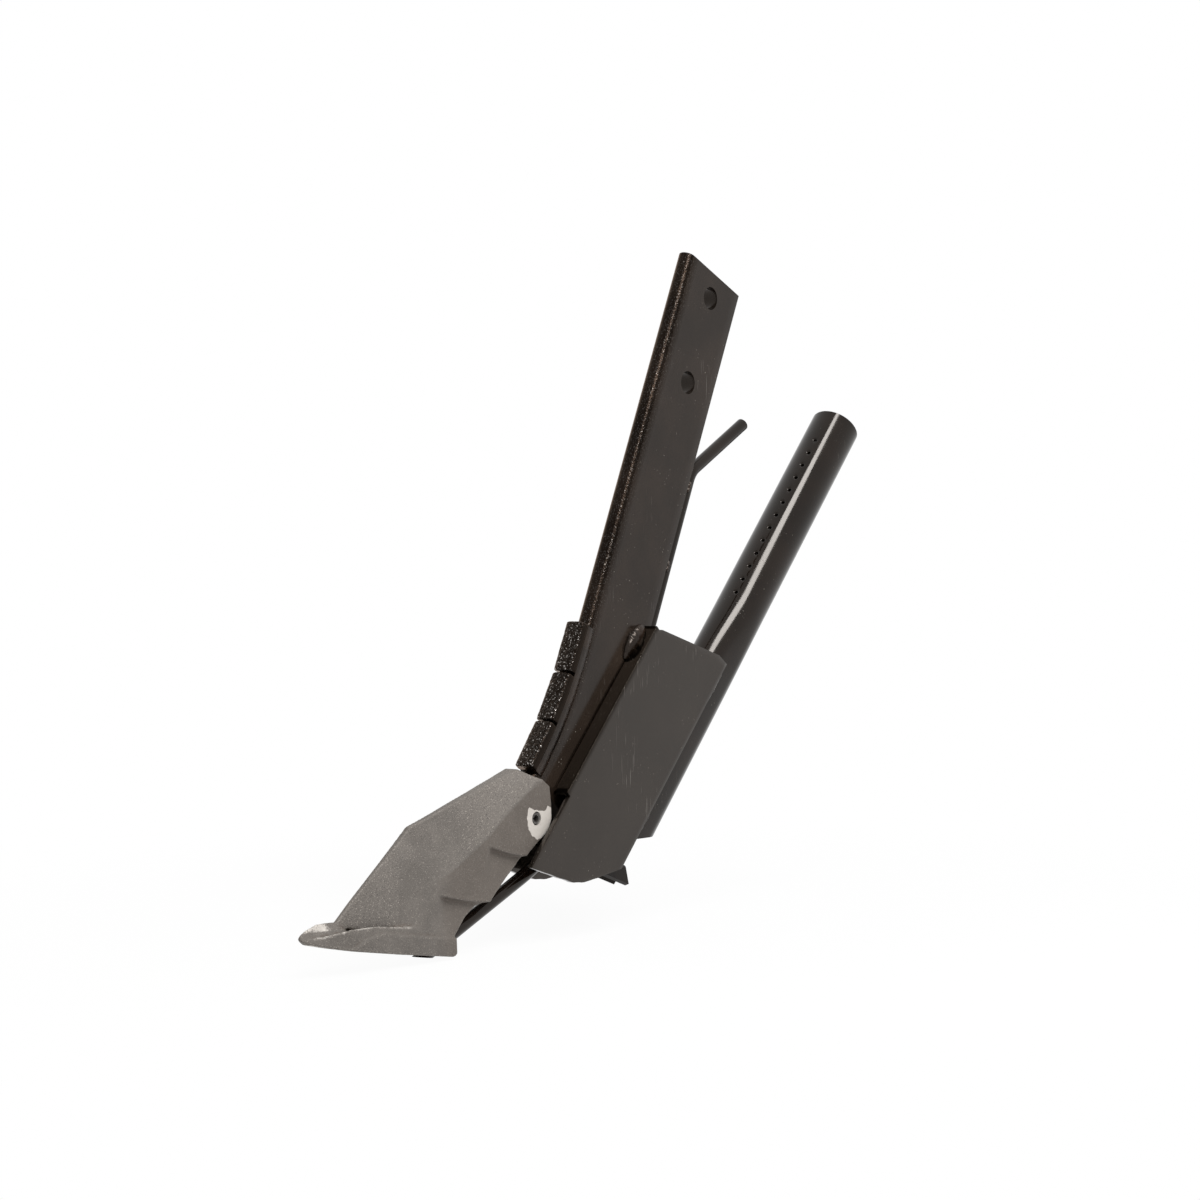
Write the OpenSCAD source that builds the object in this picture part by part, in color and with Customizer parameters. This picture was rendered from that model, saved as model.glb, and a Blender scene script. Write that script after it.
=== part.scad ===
// Seeding opener for an air seeder: a bolted shank with a cast digging point,
// hard wear bars, a liquid fertilizer tube and a two-plate seed boot with its seed tube.
// Frame: +X is the way the opener travels, +Y is left, +Z is up.
// The origin is the centre of the two bolt holes, in the shank's middle plane.

/* [Shank] */
// Width of the shank bar, front to back
shank_w = 70; // [60:1:84]
// Thickness of the shank bar, side to side
shank_t = 12.7; // [10.5:0.1:15.3]
// Lean of the shank back from upright, in degrees
shank_lean = 24.2; // [20:0.2:29]
// Length of the shank above the centre of the bolt holes
shank_top = 54; // [50:1:65]
// Length of straight shank below the centre of the bolt holes
shank_straight = 267; // [225:1:320]
// Radius of the concave front edge below the straight part
shank_bend_r = 326; // [272:1:391]
// Distance of the bar's middle line ahead of the bolt holes
shank_offset = 2.4; // [0:0.1:4]
// Distance between the two bolt holes
bolt_spacing = 70; // [58:1:84]
// Diameter of the bolt holes
bolt_hole_d = 17; // [14:0.5:20]
// Width of the tang that enters the point
tang_w = 25.5; // [24:0.5:30]
// Length of the tang below the shank's shoulder
tang_len = 68; // [57:1:81]

/* [Wear bars] */
// Number of wear bars on the front edge
wear_count = 3; // [1:1:3]
// Width of each wear bar, side to side
wear_w = 16; // [13.5:0.5:19]
// Depth of each wear bar, front to back
wear_d = 7.6; // [6:0.1:9.1]
// Length of each wear bar
wear_len = 37.6; // [31:0.1:45]
// Gap between two wear bars
wear_gap = 1; // [0.5:0.1:1.5]

/* [Point] */
// Thickness of the point's wall beside the tang
point_wall = 7.3; // [6:0.1:9]
// Width of the point's foot, side to side
foot_w = 29; // [25:0.5:34]
// Thickness of the foot at its heel
foot_t = 12.2; // [10:0.1:14.6]
// Distance of the pin along the shank below the straight part
pin_drop = 122.3; // [118:0.1:126]
// Outer diameter of the spring pin
pin_d = 9.5; // [8:0.1:11.4]
// Inner diameter of the spring pin
pin_bore_d = 5; // [4:0.1:6]

/* [Seed tube] */
// Outer diameter of the seed tube
seed_d = 38.1; // [31.8:0.1:42]
// Wall of the seed tube
seed_wall = 2.1; // [1.7:0.1:2.6]
// Lean of the seed tube and boot back from upright, in degrees
seed_lean = 42.6; // [38:0.2:46]
// Length of the seed tube above the boot's lower corner of the front flange
seed_reach = 444; // [370:1:530]
// Length of the round part of the seed tube
seed_round = 195; // [190:1:234]
// Length of the tube's plain end for the hose, smaller than the rest by a hair
seed_end = 30; // [25:0.5:31]
// Number of air holes in each row
air_count = 13; // [4:1:13]
// Distance between two air holes
air_pitch = 13.3; // [11:0.1:13.4]
// Diameter of the air holes
air_d = 2.6; // [2.1:0.1:3.2]

/* [Boot] */
// Outer width of the boot, side to side
boot_w = 38; // [36:0.5:46]
// Thickness of the boot's side plates
boot_t = 4; // [3.3:0.1:4.8]
// Distance from the boot's front face to the middle of the seed tube
boot_depth = 91; // [80:1:105]

/* [Liquid tube] */
// Outer diameter of the liquid tube
liquid_d = 9.5; // [8:0.1:10.2]
// Wall of the liquid tube
liquid_wall = 1.2; // [1:0.1:1.5]
// Radius of the liquid tube's long lower bend
liquid_bend_r = 250; // [225:1:300]
// Length of the inlet end behind the shank
liquid_end = 77; // [64:1:92]

/* [Hidden] */
$fn = 96;

paint = [0.05, 0.045, 0.04];
casting = [0.50, 0.48, 0.46];
steel = [0.22, 0.21, 0.20];

seat = 0.05;       // gap left between two curved faces that rest on each other
socket_fit = 0.3;  // gap round the tang in the point
pin_fit = 0.05;    // radial gap round the spring pin
tube_fit = 0.6;    // gap round the liquid tube in the foot

front_v = shank_offset + shank_w / 2;
rear_v = shank_offset - shank_w / 2;
bullnose_r = shank_t / 2;

// Point of the shank's own plane: v ahead of the bolt line, u up along it.
function shank_point(v, u) = [
    v * cos(shank_lean) - u * sin(shank_lean),
    0,
    v * sin(shank_lean) + u * cos(shank_lean)
];
bend_centre = shank_point(front_v + shank_bend_r, -shank_straight);

// Lean of the front edge at a distance below the bolt holes.
function lean_at(drop) =
    shank_lean + max(0, drop - shank_straight) / shank_bend_r * 180 / PI;

pin_at = shank_straight + pin_drop;
pin_setback = 16.6;
shoulder_at = pin_at - 24;
tang_end = shoulder_at + tang_len;
wear_first = shank_straight - 3;
wear_seat = wear_len * wear_len / 8 / shank_bend_r + seat;
wear_pitch = (wear_len + wear_gap) * shank_bend_r / (shank_bend_r - wear_d - wear_seat);

// Frame on the front edge: X points forward out of the edge, Z up along it.
module on_front(drop) {
    translate(bend_centre)
        rotate([0, -lean_at(drop), 0])
            translate([-shank_bend_r, 0, max(0, shank_straight - drop)])
                children();
}

// Upright slab whose outline is drawn in the X-Z plane, centred on the middle plane.
module slab(thickness) {
    rotate([90, 0, 0]) linear_extrude(thickness, center = true) children();
}

// Section drawn as (distance behind the front edge, Y), run along the front edge.
module along_front(from, to) {
    bend_from = max(from, shank_straight);
    straight_to = min(to, shank_straight);
    translate(bend_centre) rotate([0, -shank_lean, 0]) {
        if (from < shank_straight)
            translate([-shank_bend_r, 0, shank_straight - straight_to])
                linear_extrude(straight_to - from) mirror([1, 0]) children();
        if (to > shank_straight)
            rotate([90, 0, 0])
                rotate([0, 0, 180 + lean_at(bend_from) - shank_lean])
                    rotate_extrude(angle = lean_at(to) - lean_at(bend_from), $fn = 360)
                        translate([shank_bend_r, 0]) mirror([0, 1]) children();
    }
}

module bar_section(width, grow = 0) {
    translate([bullnose_r, 0]) circle(r = bullnose_r + grow);
    translate([bullnose_r, -bullnose_r - grow])
        square([width - bullnose_r + grow, shank_t + 2 * grow]);
}

module y_hole(d, length) {
    rotate([90, 0, 0]) cylinder(d = d, h = length, center = true);
}

liquid_v = rear_v - liquid_d / 2 - 2 * seat;
liquid_straight = shank_straight - 4.7;
liquid_centre = shank_point(liquid_v + liquid_bend_r, -liquid_straight);
liquid_turn = 43;
liquid_lean = shank_lean + liquid_turn;

module pin_place() {
    on_front(pin_at) translate([-pin_setback, 0, 0]) children();
}

// Below the shoulder the bar narrows to the tang; above it the rear edge makes way
// for the liquid tube's bend.
module shank_body() {
    difference() {
        along_front(-shank_top, tang_end) bar_section(shank_w);
        along_front(shoulder_at, tang_end + 5)
            translate([tang_w, -shank_t]) square([shank_w, 2 * shank_t]);
        difference() {
            along_front(liquid_straight - 5, shoulder_at + 5)
                translate([shank_w / 2, -shank_t]) square([shank_w, 2 * shank_t]);
            translate(liquid_centre)
                y_hole(2 * liquid_bend_r - liquid_d - 2 * seat, shank_t * 3, $fn = 360);
        }
    }
}

module shank() {
    color(paint) difference() {
        shank_body();
        for (side = [-1, 1])
            translate(shank_point(0, side * bolt_spacing / 2))
                y_hole(bolt_hole_d, shank_t * 2);
        pin_place() y_hole(pin_d + 2 * pin_fit, shank_t * 2);
    }
}

wear_corner_r = 3;

module wear_section() {
    inner_w = wear_w - 2 * wear_corner_r;
    translate([0, -wear_w / 2]) square([wear_d - wear_corner_r, wear_w]);
    translate([0, -inner_w / 2]) square([wear_d, inner_w]);
    for (side = [-1, 1])
        translate([wear_d - wear_corner_r, side * inner_w / 2]) circle(r = wear_corner_r);
}

module wear_bar(index) {
    if (index < wear_count)
        color(steel)
            on_front(wear_first + index * wear_pitch)
                translate([wear_seat, 0, -wear_len / 2])
                    linear_extrude(wear_len) wear_section();
}

wear_weld_from = wear_first - wear_len / 2 + 1;
wear_weld_to = wear_first + (wear_count - 1) * wear_pitch + wear_len / 2 - 1;
weld_toe = 3;

module wear_weld(side) {
    color(paint) difference() {
        along_front(wear_weld_from, wear_weld_to)
            polygon([
                [seat, side * bullnose_r * 0.45],
                [seat, side * (wear_w / 2 - 0.4)],
                [bullnose_r + weld_toe - 1, side * (bullnose_r + 1.1)],
                [bullnose_r + weld_toe, side * bullnose_r],
                [bullnose_r, side * bullnose_r * 0.5]
            ]);
        along_front(wear_weld_from - 1, wear_weld_to + 1)
            bar_section(shank_w, seat / 2);
    }
}

// The point's outlines are drawn about the pin, in the upright X-Z plane.
point_pitch = 45.7;
point_half = shank_t / 2 + point_wall;
edge_half = 1.6;
top_edge = [10.6, 34.4];
shoulder = [117.6, 2];
shoulder_r = 12;
knife_foot = [193, -59];
knife_base = [168, -62];

module point_place() {
    pin_place() rotate([0, point_pitch, 0]) children();
}

module point_body() {
    hull() {
        slab(2 * point_half)
            polygon([
                [-6.5, 26.5], [-15.3, 17.9], [-17.6, 7], [-17.5, -3.4],
                [-14, -9.5], [-1.8, -17.5], [49.2, -53], [85, -27], [35, 5]
            ]);
        slab(2 * point_half - 6) polygon([[49, -53.5], [87.5, -71.5], [140, -60], [133, -30]]);
        slab(10) polygon([top_edge, top_edge + [4, -4], [0, 30]]);
        slab(2 * edge_half) polygon([top_edge + [5, -3], knife_foot, knife_base]);
        translate([shoulder.x, 0, shoulder.y])
            rotate([0, 27.9, 0])
                translate([0, 0, -shoulder_r / cos(12)])
                    y_hole(2 * shoulder_r, 2 * edge_half);
    }
}

heel = [83.6, -73.4];
foot_pitch = 8;
foot_len = 74;

lip_line = [
    [108, -64.5, 0.93], [161.7, -57.4, 0.9], [185.7, -57.6, 0.84], [197.7, -59.6, 0.56],
    [212.7, -61.9, 0.28]
];

// Foot with a raised lip on each side and a toe ahead of the knife edge.
module foot() {
    hull() {
        translate([heel.x, 0, heel.y])
            rotate([0, -foot_pitch, 0])
                translate([0, -foot_w / 2, -foot_t]) cube([foot_len, foot_w, foot_t]);
        slab(foot_w * 0.8) polygon([[183, -69], [188, -69], [180, -73.2]]);
        slab(foot_w * 0.42) polygon([[205, -64], [208, -64.5], [203, -67]]);
        slab(2 * edge_half) polygon([[189.7, -53.1], [206, -53], [216.5, -56], [222.4, -59.2], [219, -62]]);
        for (station = lip_line)
            translate([station[0], 0, station[1] - 1])
                cube([1, station[2] * foot_w, 2], center = true);
    }
}

// A step cut into the point's side: deepest under its upper edge, fading out below.
module side_step(start, end, depth, fade) {
    run = end - start;
    translate([start.x, 0, start.y])
        rotate([0, -atan2(run.y, run.x), 0])
            for (side = [-1, 1])
                rotate([90, 0, 90])
                    translate([0, 0, -12])
                        linear_extrude(norm(run) + 12)
                            polygon([
                                [side * (point_half + 5), 0],
                                [side * (point_half - depth), 0],
                                [side * (point_half - depth * 0.7), -fade * 0.3],
                                [side * (point_half + 0.2), -fade],
                                [side * (point_half + 5), -fade]
                            ]);
}

module point() {
    color(casting) difference() {
        point_place() {
            difference() {
                point_body();
                side_step([10.4, -25.2], [49.9, -15.6], 3.4, 26);
                side_step([51.6, -52.7], [100, -44], 3.4, 26);
            }
            foot();
        }
        along_front(shoulder_at - 30, tang_end + 1)
            bar_section(tang_w, socket_fit);
        pin_place() y_hole(pin_d + 2 * pin_fit, 3 * point_half);
        liquid_solid(tube_fit, 12);
    }
}

module roll_pin() {
    color(steel)
        pin_place()
            rotate([90, 0, 0])
                linear_extrude(2 * point_half - 1, center = true)
                    difference() {
                        circle(d = pin_d);
                        circle(d = pin_bore_d);
                        translate([0, -0.6]) square([pin_d, 1.2]);
                    }
}

inlet_angle = 36.8;
inlet_bend_r = 20;
inlet_corner = -90;
liquid_run = 104;

joint_len = 0.6;
joint_gap = 0.1;
joint_grow = 0.02;

module pipe_section(r, bore_r) {
    difference() {
        circle(r = r);
        if (bore_r > 0) circle(r = bore_r);
    }
}

module pipe_joint(r, bore_r) {
    linear_extrude(joint_len, center = true)
        pipe_section(r + joint_grow, bore_r - joint_grow);
}

// Straight pipe from z = 0 up, standing just clear of what it is joined to.
module pipe_straight(r, bore_r, length) {
    pipe_joint(r, bore_r);
    translate([0, 0, joint_gap]) linear_extrude(length - joint_gap) pipe_section(r, bore_r);
}

// Bend in the X-Z plane about the origin, from an angle above +X.
module pipe_bend(r, bore_r, bend_r, from, turn) {
    rotate([90, 0, 0])
        rotate([0, 0, from + joint_gap / bend_r * 180 / PI])
            rotate_extrude(angle = turn - 2 * joint_gap / bend_r * 180 / PI)
                translate([bend_r, 0]) pipe_section(r, bore_r);
}

// The liquid tube's route, from its inlet end down the shank and out through the foot.
module liquid_route(r, bore_r = 0, beyond = 0) {
    cut = inlet_bend_r * tan(inlet_angle / 2);
    translate(shank_point(liquid_v, inlet_corner))
        rotate([0, -shank_lean - inlet_angle, 0])
            translate([0, 0, cut]) pipe_straight(r, bore_r, liquid_end - cut);
    translate(shank_point(liquid_v - inlet_bend_r, inlet_corner - cut))
        rotate([0, -shank_lean, 0])
            pipe_bend(r, bore_r, inlet_bend_r, 0, inlet_angle);
    translate(shank_point(liquid_v, inlet_corner - cut))
        rotate([0, 180 - shank_lean, 0])
            pipe_straight(r, bore_r, liquid_straight + inlet_corner - cut - joint_gap);
    translate(shank_point(liquid_v, -liquid_straight))
        rotate([0, -shank_lean, 0]) pipe_joint(r, bore_r);
    translate(liquid_centre)
        pipe_bend(r, bore_r, liquid_bend_r, 180 + shank_lean, liquid_turn);
    translate(liquid_centre)
        rotate([0, 180 - liquid_lean, 0])
            translate([liquid_bend_r, 0, 0]) pipe_straight(r, bore_r, liquid_run + beyond);
}

module liquid_solid(grow, beyond = 0) {
    liquid_route(liquid_d / 2 + grow, 0, beyond);
}

module liquid_tube() {
    color(paint) difference() {
        liquid_route(liquid_d / 2, liquid_d / 2 - liquid_wall, 14);
        point_place()
            translate([heel.x, 0, heel.y])
                rotate([0, -foot_pitch, 0])
                    translate([-50, -30, -foot_t - 42.5]) cube([200, 60, 40]);
    }
}

tack_len = 9;
tack_r = 2.2;

module liquid_tacks() {
    color(paint)
        for (drop = [104, 168, 232])
            for (side = [-1, 1])
                difference() {
                    translate(shank_point(rear_v - 1.2, -drop))
                        translate([0, side * (liquid_d / 2 - 0.6), 0])
                            rotate([0, -shank_lean, 0])
                                cylinder(r = tack_r, h = tack_len, center = true);
                    shank_body();
                    liquid_solid(seat);
                }
}

// Boot frame: X out of the front flange, Z up along the seed tube's lean.
boot_drop = 93.3;
boot_setback = 25.7;
boot_at = shank_straight + boot_drop;
boot_corner_r = 4;
flange_top = 154;
plate_rear = 6 - boot_depth;

module boot_place() {
    translate(bend_centre)
        rotate([0, -lean_at(boot_at), 0])
            translate([-shank_bend_r - boot_setback, 0, 0])
                rotate([0, lean_at(boot_at) - seed_lean, 0])
                    children();
}

module plate_outline() {
    polygon([
        [-boot_corner_r, -63], [-boot_corner_r, flange_top + 1],
        [plate_rear + 12, 189.5], [plate_rear, 191],
        [plate_rear, -1], [plate_rear + 17, -22],
        [plate_rear + 28, -34.6], [plate_rear + 37.4, -42]
    ]);
}

module boot_side(side) {
    outer = boot_w / 2;
    color(paint) boot_place() {
        translate([0, side * (outer - boot_t / 2), 0]) slab(boot_t) plate_outline();
        linear_extrude(flange_top)
            intersection() {
                difference() {
                    translate([-boot_corner_r, side * (outer - boot_corner_r)])
                        circle(r = boot_corner_r);
                    translate([-boot_t - 0.3, side * (outer - boot_t - 0.3)]) circle(r = 0.3);
                }
                translate([-boot_corner_r, side > 0 ? outer - boot_corner_r : -outer])
                    square(boot_corner_r);
            }
        translate([-boot_t, side > 0 ? bullnose_r : -outer + boot_corner_r, 0])
            cube([boot_t, outer - boot_corner_r - bullnose_r, flange_top]);
    }
}

bead_r = 3.4;

// Round-ended bead between two points of the boot's frame.
module bead(from, to, r) {
    run = to - from;
    translate(from)
        rotate([0, atan2(norm([run.x, run.y]), run.z), atan2(run.y, run.x)])
            rotate_extrude($fn = 32) {
                square([r, norm(run)]);
                intersection() {
                    circle(r = r);
                    translate([0, -r]) square([r, r]);
                }
                translate([0, norm(run)])
                    intersection() {
                        circle(r = r);
                        square([r, r]);
                    }
            }
}

module boot_weld(side) {
    weld_y = side * (bullnose_r + 0.6);
    color(paint) difference() {
        boot_place() {
            bead([0.5, weld_y, flange_top - 30], [0.5, weld_y, flange_top - 3], bead_r);
            bead([-1, weld_y, -2.2], [-1, side * (boot_w / 2 - 5), -2.2], 2);
        }
        shank_body();
        boot_side(side);
    }
}

seed_flat_half = boot_w / 2 - boot_t - 2 * seat;
seed_flat_run = (PI * (seed_d - 2 * seed_flat_half)) / 2;
outlet_drop = 39.2;
end_step = 0.22;   // how much less the radius of the plain end, where a hose seats, is

// Section of the flattened seed tube, narrowed by an inset.
module flat_section(inset) {
    r = seed_flat_half - inset;
    for (end = [-1, 1])
        translate([end * seed_flat_run / 2, 0]) circle(r = r);
    square([seed_flat_run, 2 * r], center = true);
}

module seed_solid(inset, beyond) {
    flat_from = seed_reach - seed_round - 60;
    translate([0, 0, seed_reach - seed_round])
        cylinder(d = seed_d - 2 * inset, h = seed_round - seed_end);
    translate([0, 0, seed_reach - seed_end])
        cylinder(d = seed_d - 2 * inset - 2 * end_step, h = seed_end + beyond);
    hull() {
        translate([0, 0, seed_reach - seed_round])
            linear_extrude(0.01) circle(d = seed_d - 2 * inset, $fn = 40);
        translate([0, 0, flat_from])
            linear_extrude(0.01) flat_section(inset, $fn = 40);
    }
    translate([0, 0, -20]) linear_extrude(flat_from + 20.01) flat_section(inset);
}

row_angle = 13.9;
first_air = 32.1;

module seed_tube() {
    color(paint) difference() {
        boot_place() translate([-boot_depth, 0, 0]) difference() {
            seed_solid(0, 0);
            seed_solid(seed_wall, 5);
            for (row = [0, 120, 240])
                for (index = [0 : air_count - 1])
                    translate([0, 0, seed_reach - first_air - index * air_pitch])
                        rotate([0, 90, row_angle + row])
                            cylinder(d = air_d, h = seed_d, $fn = 24);
        }
        outlet_cut();
    }
}

// Everything below the level outlet of the seed tube.
module outlet_cut() {
    boot_place()
        rotate([0, seed_lean, 0])
            translate([-300, -60, -outlet_drop - 80]) cube([300, 120, 80]);
}

module seam_weld(side) {
    color(paint) boot_place()
        for (span = [[153, 184], [33, 52]])
            translate([plate_rear - seat, 0, span[0]])
                linear_extrude(span[1] - span[0])
                    polygon([
                        [0, side * (seed_flat_half + seat)],
                        [-4, side * (seed_flat_half + seat)],
                        [-3.2, side * (seed_flat_half + 1.8)],
                        [0, side * (boot_w / 2 - 0.8)]
                    ]);
}

// Inverted V that parts the seed below the tube's outlet.
splitter_pitch = 19;
splitter_len = 54;
splitter_t = 3;
splitter_end = [-85.5, -70.5];

module splitter_place() {
    boot_place()
        rotate([0, seed_lean, 0])
            translate([splitter_end.x, 0, splitter_end.y])
                rotate([0, -splitter_pitch, 0])
                    children();
}

module deflector() {
    color(paint) splitter_place()
        rotate([90, 0, 90])
            linear_extrude(splitter_len)
                polygon([
                    [-8, -1.5], [-8 + splitter_t, -2.8], [0, 7.5], [8 - splitter_t, -2.8],
                    [8, -1.5], [1.4, 12], [-1.4, 12]
                ]);
}

module deflector_strap() {
    strap_w = boot_w - 2 * boot_t - 2 * seat;
    color(paint) splitter_place()
        translate([splitter_len - 16, -strap_w / 2, 12]) cube([14, strap_w, splitter_t]);
}

shank();
wear_bar(0);  // wear_bar_upper
wear_bar(1);  // wear_bar_middle
wear_bar(2);  // wear_bar_lower
wear_weld(1);  // wear_weld_left
wear_weld(-1);  // wear_weld_right
point();
roll_pin();
liquid_tube();
liquid_tacks();
boot_side(1);  // boot_side_left
boot_side(-1);  // boot_side_right
boot_weld(1);  // boot_weld_left
boot_weld(-1);  // boot_weld_right
seed_tube();
seam_weld(1);  // seam_weld_left
seam_weld(-1);  // seam_weld_right
deflector();
deflector_strap();
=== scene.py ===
"""Seeding opener: the finished look of every piece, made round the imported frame.

Lengths in the shape functions are in millimetres; objects are in metres.
"""

import math

import bpy
import numpy as np
from mathutils import Matrix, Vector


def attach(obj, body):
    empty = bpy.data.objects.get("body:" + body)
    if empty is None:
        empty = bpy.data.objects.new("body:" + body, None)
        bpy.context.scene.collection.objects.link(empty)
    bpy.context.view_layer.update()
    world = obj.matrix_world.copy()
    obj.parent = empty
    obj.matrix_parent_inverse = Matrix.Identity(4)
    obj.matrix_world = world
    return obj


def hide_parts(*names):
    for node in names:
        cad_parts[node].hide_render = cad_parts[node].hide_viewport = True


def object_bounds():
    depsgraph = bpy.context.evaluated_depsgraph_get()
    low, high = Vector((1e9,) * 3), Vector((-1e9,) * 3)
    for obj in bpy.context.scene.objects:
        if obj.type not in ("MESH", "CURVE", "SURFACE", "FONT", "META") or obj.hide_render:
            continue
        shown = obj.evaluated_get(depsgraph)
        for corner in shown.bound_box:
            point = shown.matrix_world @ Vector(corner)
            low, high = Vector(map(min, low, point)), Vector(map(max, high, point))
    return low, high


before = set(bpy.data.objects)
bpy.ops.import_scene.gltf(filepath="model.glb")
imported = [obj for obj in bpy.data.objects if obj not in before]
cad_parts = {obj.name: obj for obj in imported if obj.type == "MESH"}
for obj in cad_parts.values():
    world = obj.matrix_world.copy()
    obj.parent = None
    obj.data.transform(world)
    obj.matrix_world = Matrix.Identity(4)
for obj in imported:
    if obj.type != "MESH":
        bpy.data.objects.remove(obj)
CAD_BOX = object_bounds()

bl_info = {
    "name": "Seeding Opener Looks",
    "version": (1, 0, 0),
    "blender": (4, 5, 0),
    "location": "View3D > Sidebar > Opener",
    "description": "Builds the finished pieces of a seeding opener round its packed frame",
    "category": "Object",
}

MM = 0.001
Y_AXIS = np.array([0.0, 1.0, 0.0])
SIDES = ((1, "left"), (-1, "right"))

# Shank
LEAN = math.radians(24.2)
SHANK_W = 70.0
SHANK_HALF = 6.35
SHANK_TOP = 54.0
SHANK_OFFSET = 2.4
STRAIGHT = 267.0
BEND_R = 326.0
HOLE_SPACING = 70.0
HOLE_R = 8.5
TANG_W = 25.5
PIN_DROP = STRAIGHT + 122.3
PIN_SETBACK = 16.6
SHOULDER_DROP = PIN_DROP - 24.0
TANG_END = SHOULDER_DROP + 68.0
FRONT_V = SHANK_OFFSET + SHANK_W / 2
REAR_V = SHANK_OFFSET - SHANK_W / 2

# Liquid tube
LIQUID_R = 4.75
LIQUID_BORE = 3.55
LIQUID_BEND_R = 250.0
LIQUID_V = REAR_V - LIQUID_R - 0.1
LIQUID_STRAIGHT = STRAIGHT - 4.7
LIQUID_TURN = math.radians(43.0)
INLET_TURN = math.radians(36.8)
INLET_BEND_R = 20.0
INLET_DROP = 90.0
INLET_END = 77.0

# Boot and seed tube
SEED_LEAN = math.radians(42.6)
BOOT_DROP = STRAIGHT + 93.3
BOOT_SETBACK = 25.7
BOOT_DEPTH = 91.0
BOOT_HALF = 19.0
PLATE_T = 4.0
PLATE_REAR = 6.0 - BOOT_DEPTH
FLANGE_TOP = 154.0
SEED_R = 19.05
SEED_WALL = 2.1
SEED_REACH = 444.0
SEED_FLAT_HALF = BOOT_HALF - PLATE_T - 0.1
OUTLET_DROP = 39.2
AIR_COUNT = 13
AIR_PITCH = 13.3
AIR_FIRST = 32.1
AIR_R = 1.3
AIR_ROW = math.radians(13.9)

# Wear bars
WEAR_W = 16.0
WEAR_D = 7.6
WEAR_LEN = 37.6
WEAR_FIRST = STRAIGHT - 3.0
WEAR_SEAT = WEAR_LEN**2 / 8 / BEND_R + 0.05
WEAR_PITCH = 38.6 * BEND_R / (BEND_R - WEAR_D - WEAR_SEAT)

# Point
POINT_HALF = 13.65
PIN_R = 4.75
PIN_BORE = 2.5


# ---------------------------------------------------------------- places


def shank_point(v, u):
    """Point of the shank's plane: v ahead of the bolt line and u up along it."""
    return np.array([v * math.cos(LEAN) - u * math.sin(LEAN), 0.0,
                     v * math.sin(LEAN) + u * math.cos(LEAN)])


BEND_CENTRE = shank_point(FRONT_V + BEND_R, -STRAIGHT)
LIQUID_CENTRE = shank_point(LIQUID_V + LIQUID_BEND_R, -LIQUID_STRAIGHT)


def leaning(angle):
    """Unit vectors ahead and up of a frame that leans back by an angle."""
    angle = np.asarray(angle, float)
    ahead = np.stack([np.cos(angle), 0 * angle, np.sin(angle)], -1)
    up = np.stack([-np.sin(angle), 0 * angle, np.cos(angle)], -1)
    return ahead, up


def front_edge(drop):
    """Place, ahead and up on the shank's front edge: straight, then an arc about BEND_CENTRE."""
    drop = np.atleast_1d(np.asarray(drop, float))
    ahead, up = leaning(LEAN + np.maximum(0, drop - STRAIGHT) / BEND_R)
    place = BEND_CENTRE - BEND_R * ahead + np.maximum(0, STRAIGHT - drop)[:, None] * up
    return place, ahead, up


def lean_at(drop):
    """The shank's lean at a drop: steady, then growing with the length of arc."""
    return LEAN + max(0.0, drop - STRAIGHT) / BEND_R


_ahead, _up = leaning(lean_at(BOOT_DROP))
BOOT_PLACE = BEND_CENTRE - (BEND_R + BOOT_SETBACK) * _ahead
BOOT_AHEAD, BOOT_UP = leaning(SEED_LEAN)
_ahead, _up = leaning(lean_at(PIN_DROP))
PIN_PLACE = BEND_CENTRE - (BEND_R + PIN_SETBACK) * _ahead


def boot_point(x, y, z):
    """Points of the boot's frame: x ahead of the front flange, y left, z up the lean."""
    x, y, z = np.broadcast_arrays(*(np.asarray(a, float) for a in (x, y, z)))
    return BOOT_PLACE + x[..., None] * BOOT_AHEAD + y[..., None] * Y_AXIS + z[..., None] * BOOT_UP


# ---------------------------------------------------------------- surfaces


def lattice_noise(points, size, seed):
    """Smooth noise from 0 to 1: a fixed random value at each corner of a cubic lattice of
    the given size, blended between corners by 3t^2 - 2t^3."""
    q = np.asarray(points, float) / size
    cell = np.floor(q).astype(np.int64)
    f = q - cell
    w = f * f * (3 - 2 * f)
    total = np.zeros(q.shape[:-1])
    for corner in range(8):
        step = np.array([corner & 1, corner >> 1 & 1, corner >> 2 & 1])
        c = cell + step
        h = ((c[..., 0] * 73856093) ^ (c[..., 1] * 19349663) ^ (c[..., 2] * 83492791)
             ^ (seed * 26544357))
        h = (h & 0xFFFFFFFF) * 1103515245 + 12345
        h = ((h >> 13) ^ h) & 0x7FFFFFFF
        h = (h * 1597334677 + 3812015801) & 0xFFFFFFFF
        value = (h >> 8 & 0xFFFF) / 65535.0
        total += value * np.prod(np.where(step, w, 1 - w), -1)
    return total


def smooth_step(t):
    """0 below 0, 1 above 1, and 3t^2 - 2t^3 between."""
    t = np.clip(t, 0, 1)
    return t * t * (3 - 2 * t)


def grid_faces(rows, cols, close_rows=False, close_cols=False):
    """Quads between neighbouring rows and columns of a grid of points."""
    r = np.arange(rows if close_rows else rows - 1)[:, None]
    c = np.arange(cols if close_cols else cols - 1)[None, :]
    r2, c2 = (r + 1) % rows, (c + 1) % cols
    quads = np.stack([r * cols + c, r * cols + c2, r2 * cols + c2, r2 * cols + c], -1)
    return quads.reshape(-1, 4).tolist()


def outward(points, faces):
    """The faces, turned over if the closed shape's signed volume is below zero."""
    volume = 0.0
    for face in faces:
        a, b, c = points[face[0]], points[face[1:-1]], points[face[2:]]
        volume += np.einsum("ij,ij->", np.cross(b, c), np.broadcast_to(a, b.shape))
    return [f[::-1] for f in faces] if volume < 0 else faces


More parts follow.
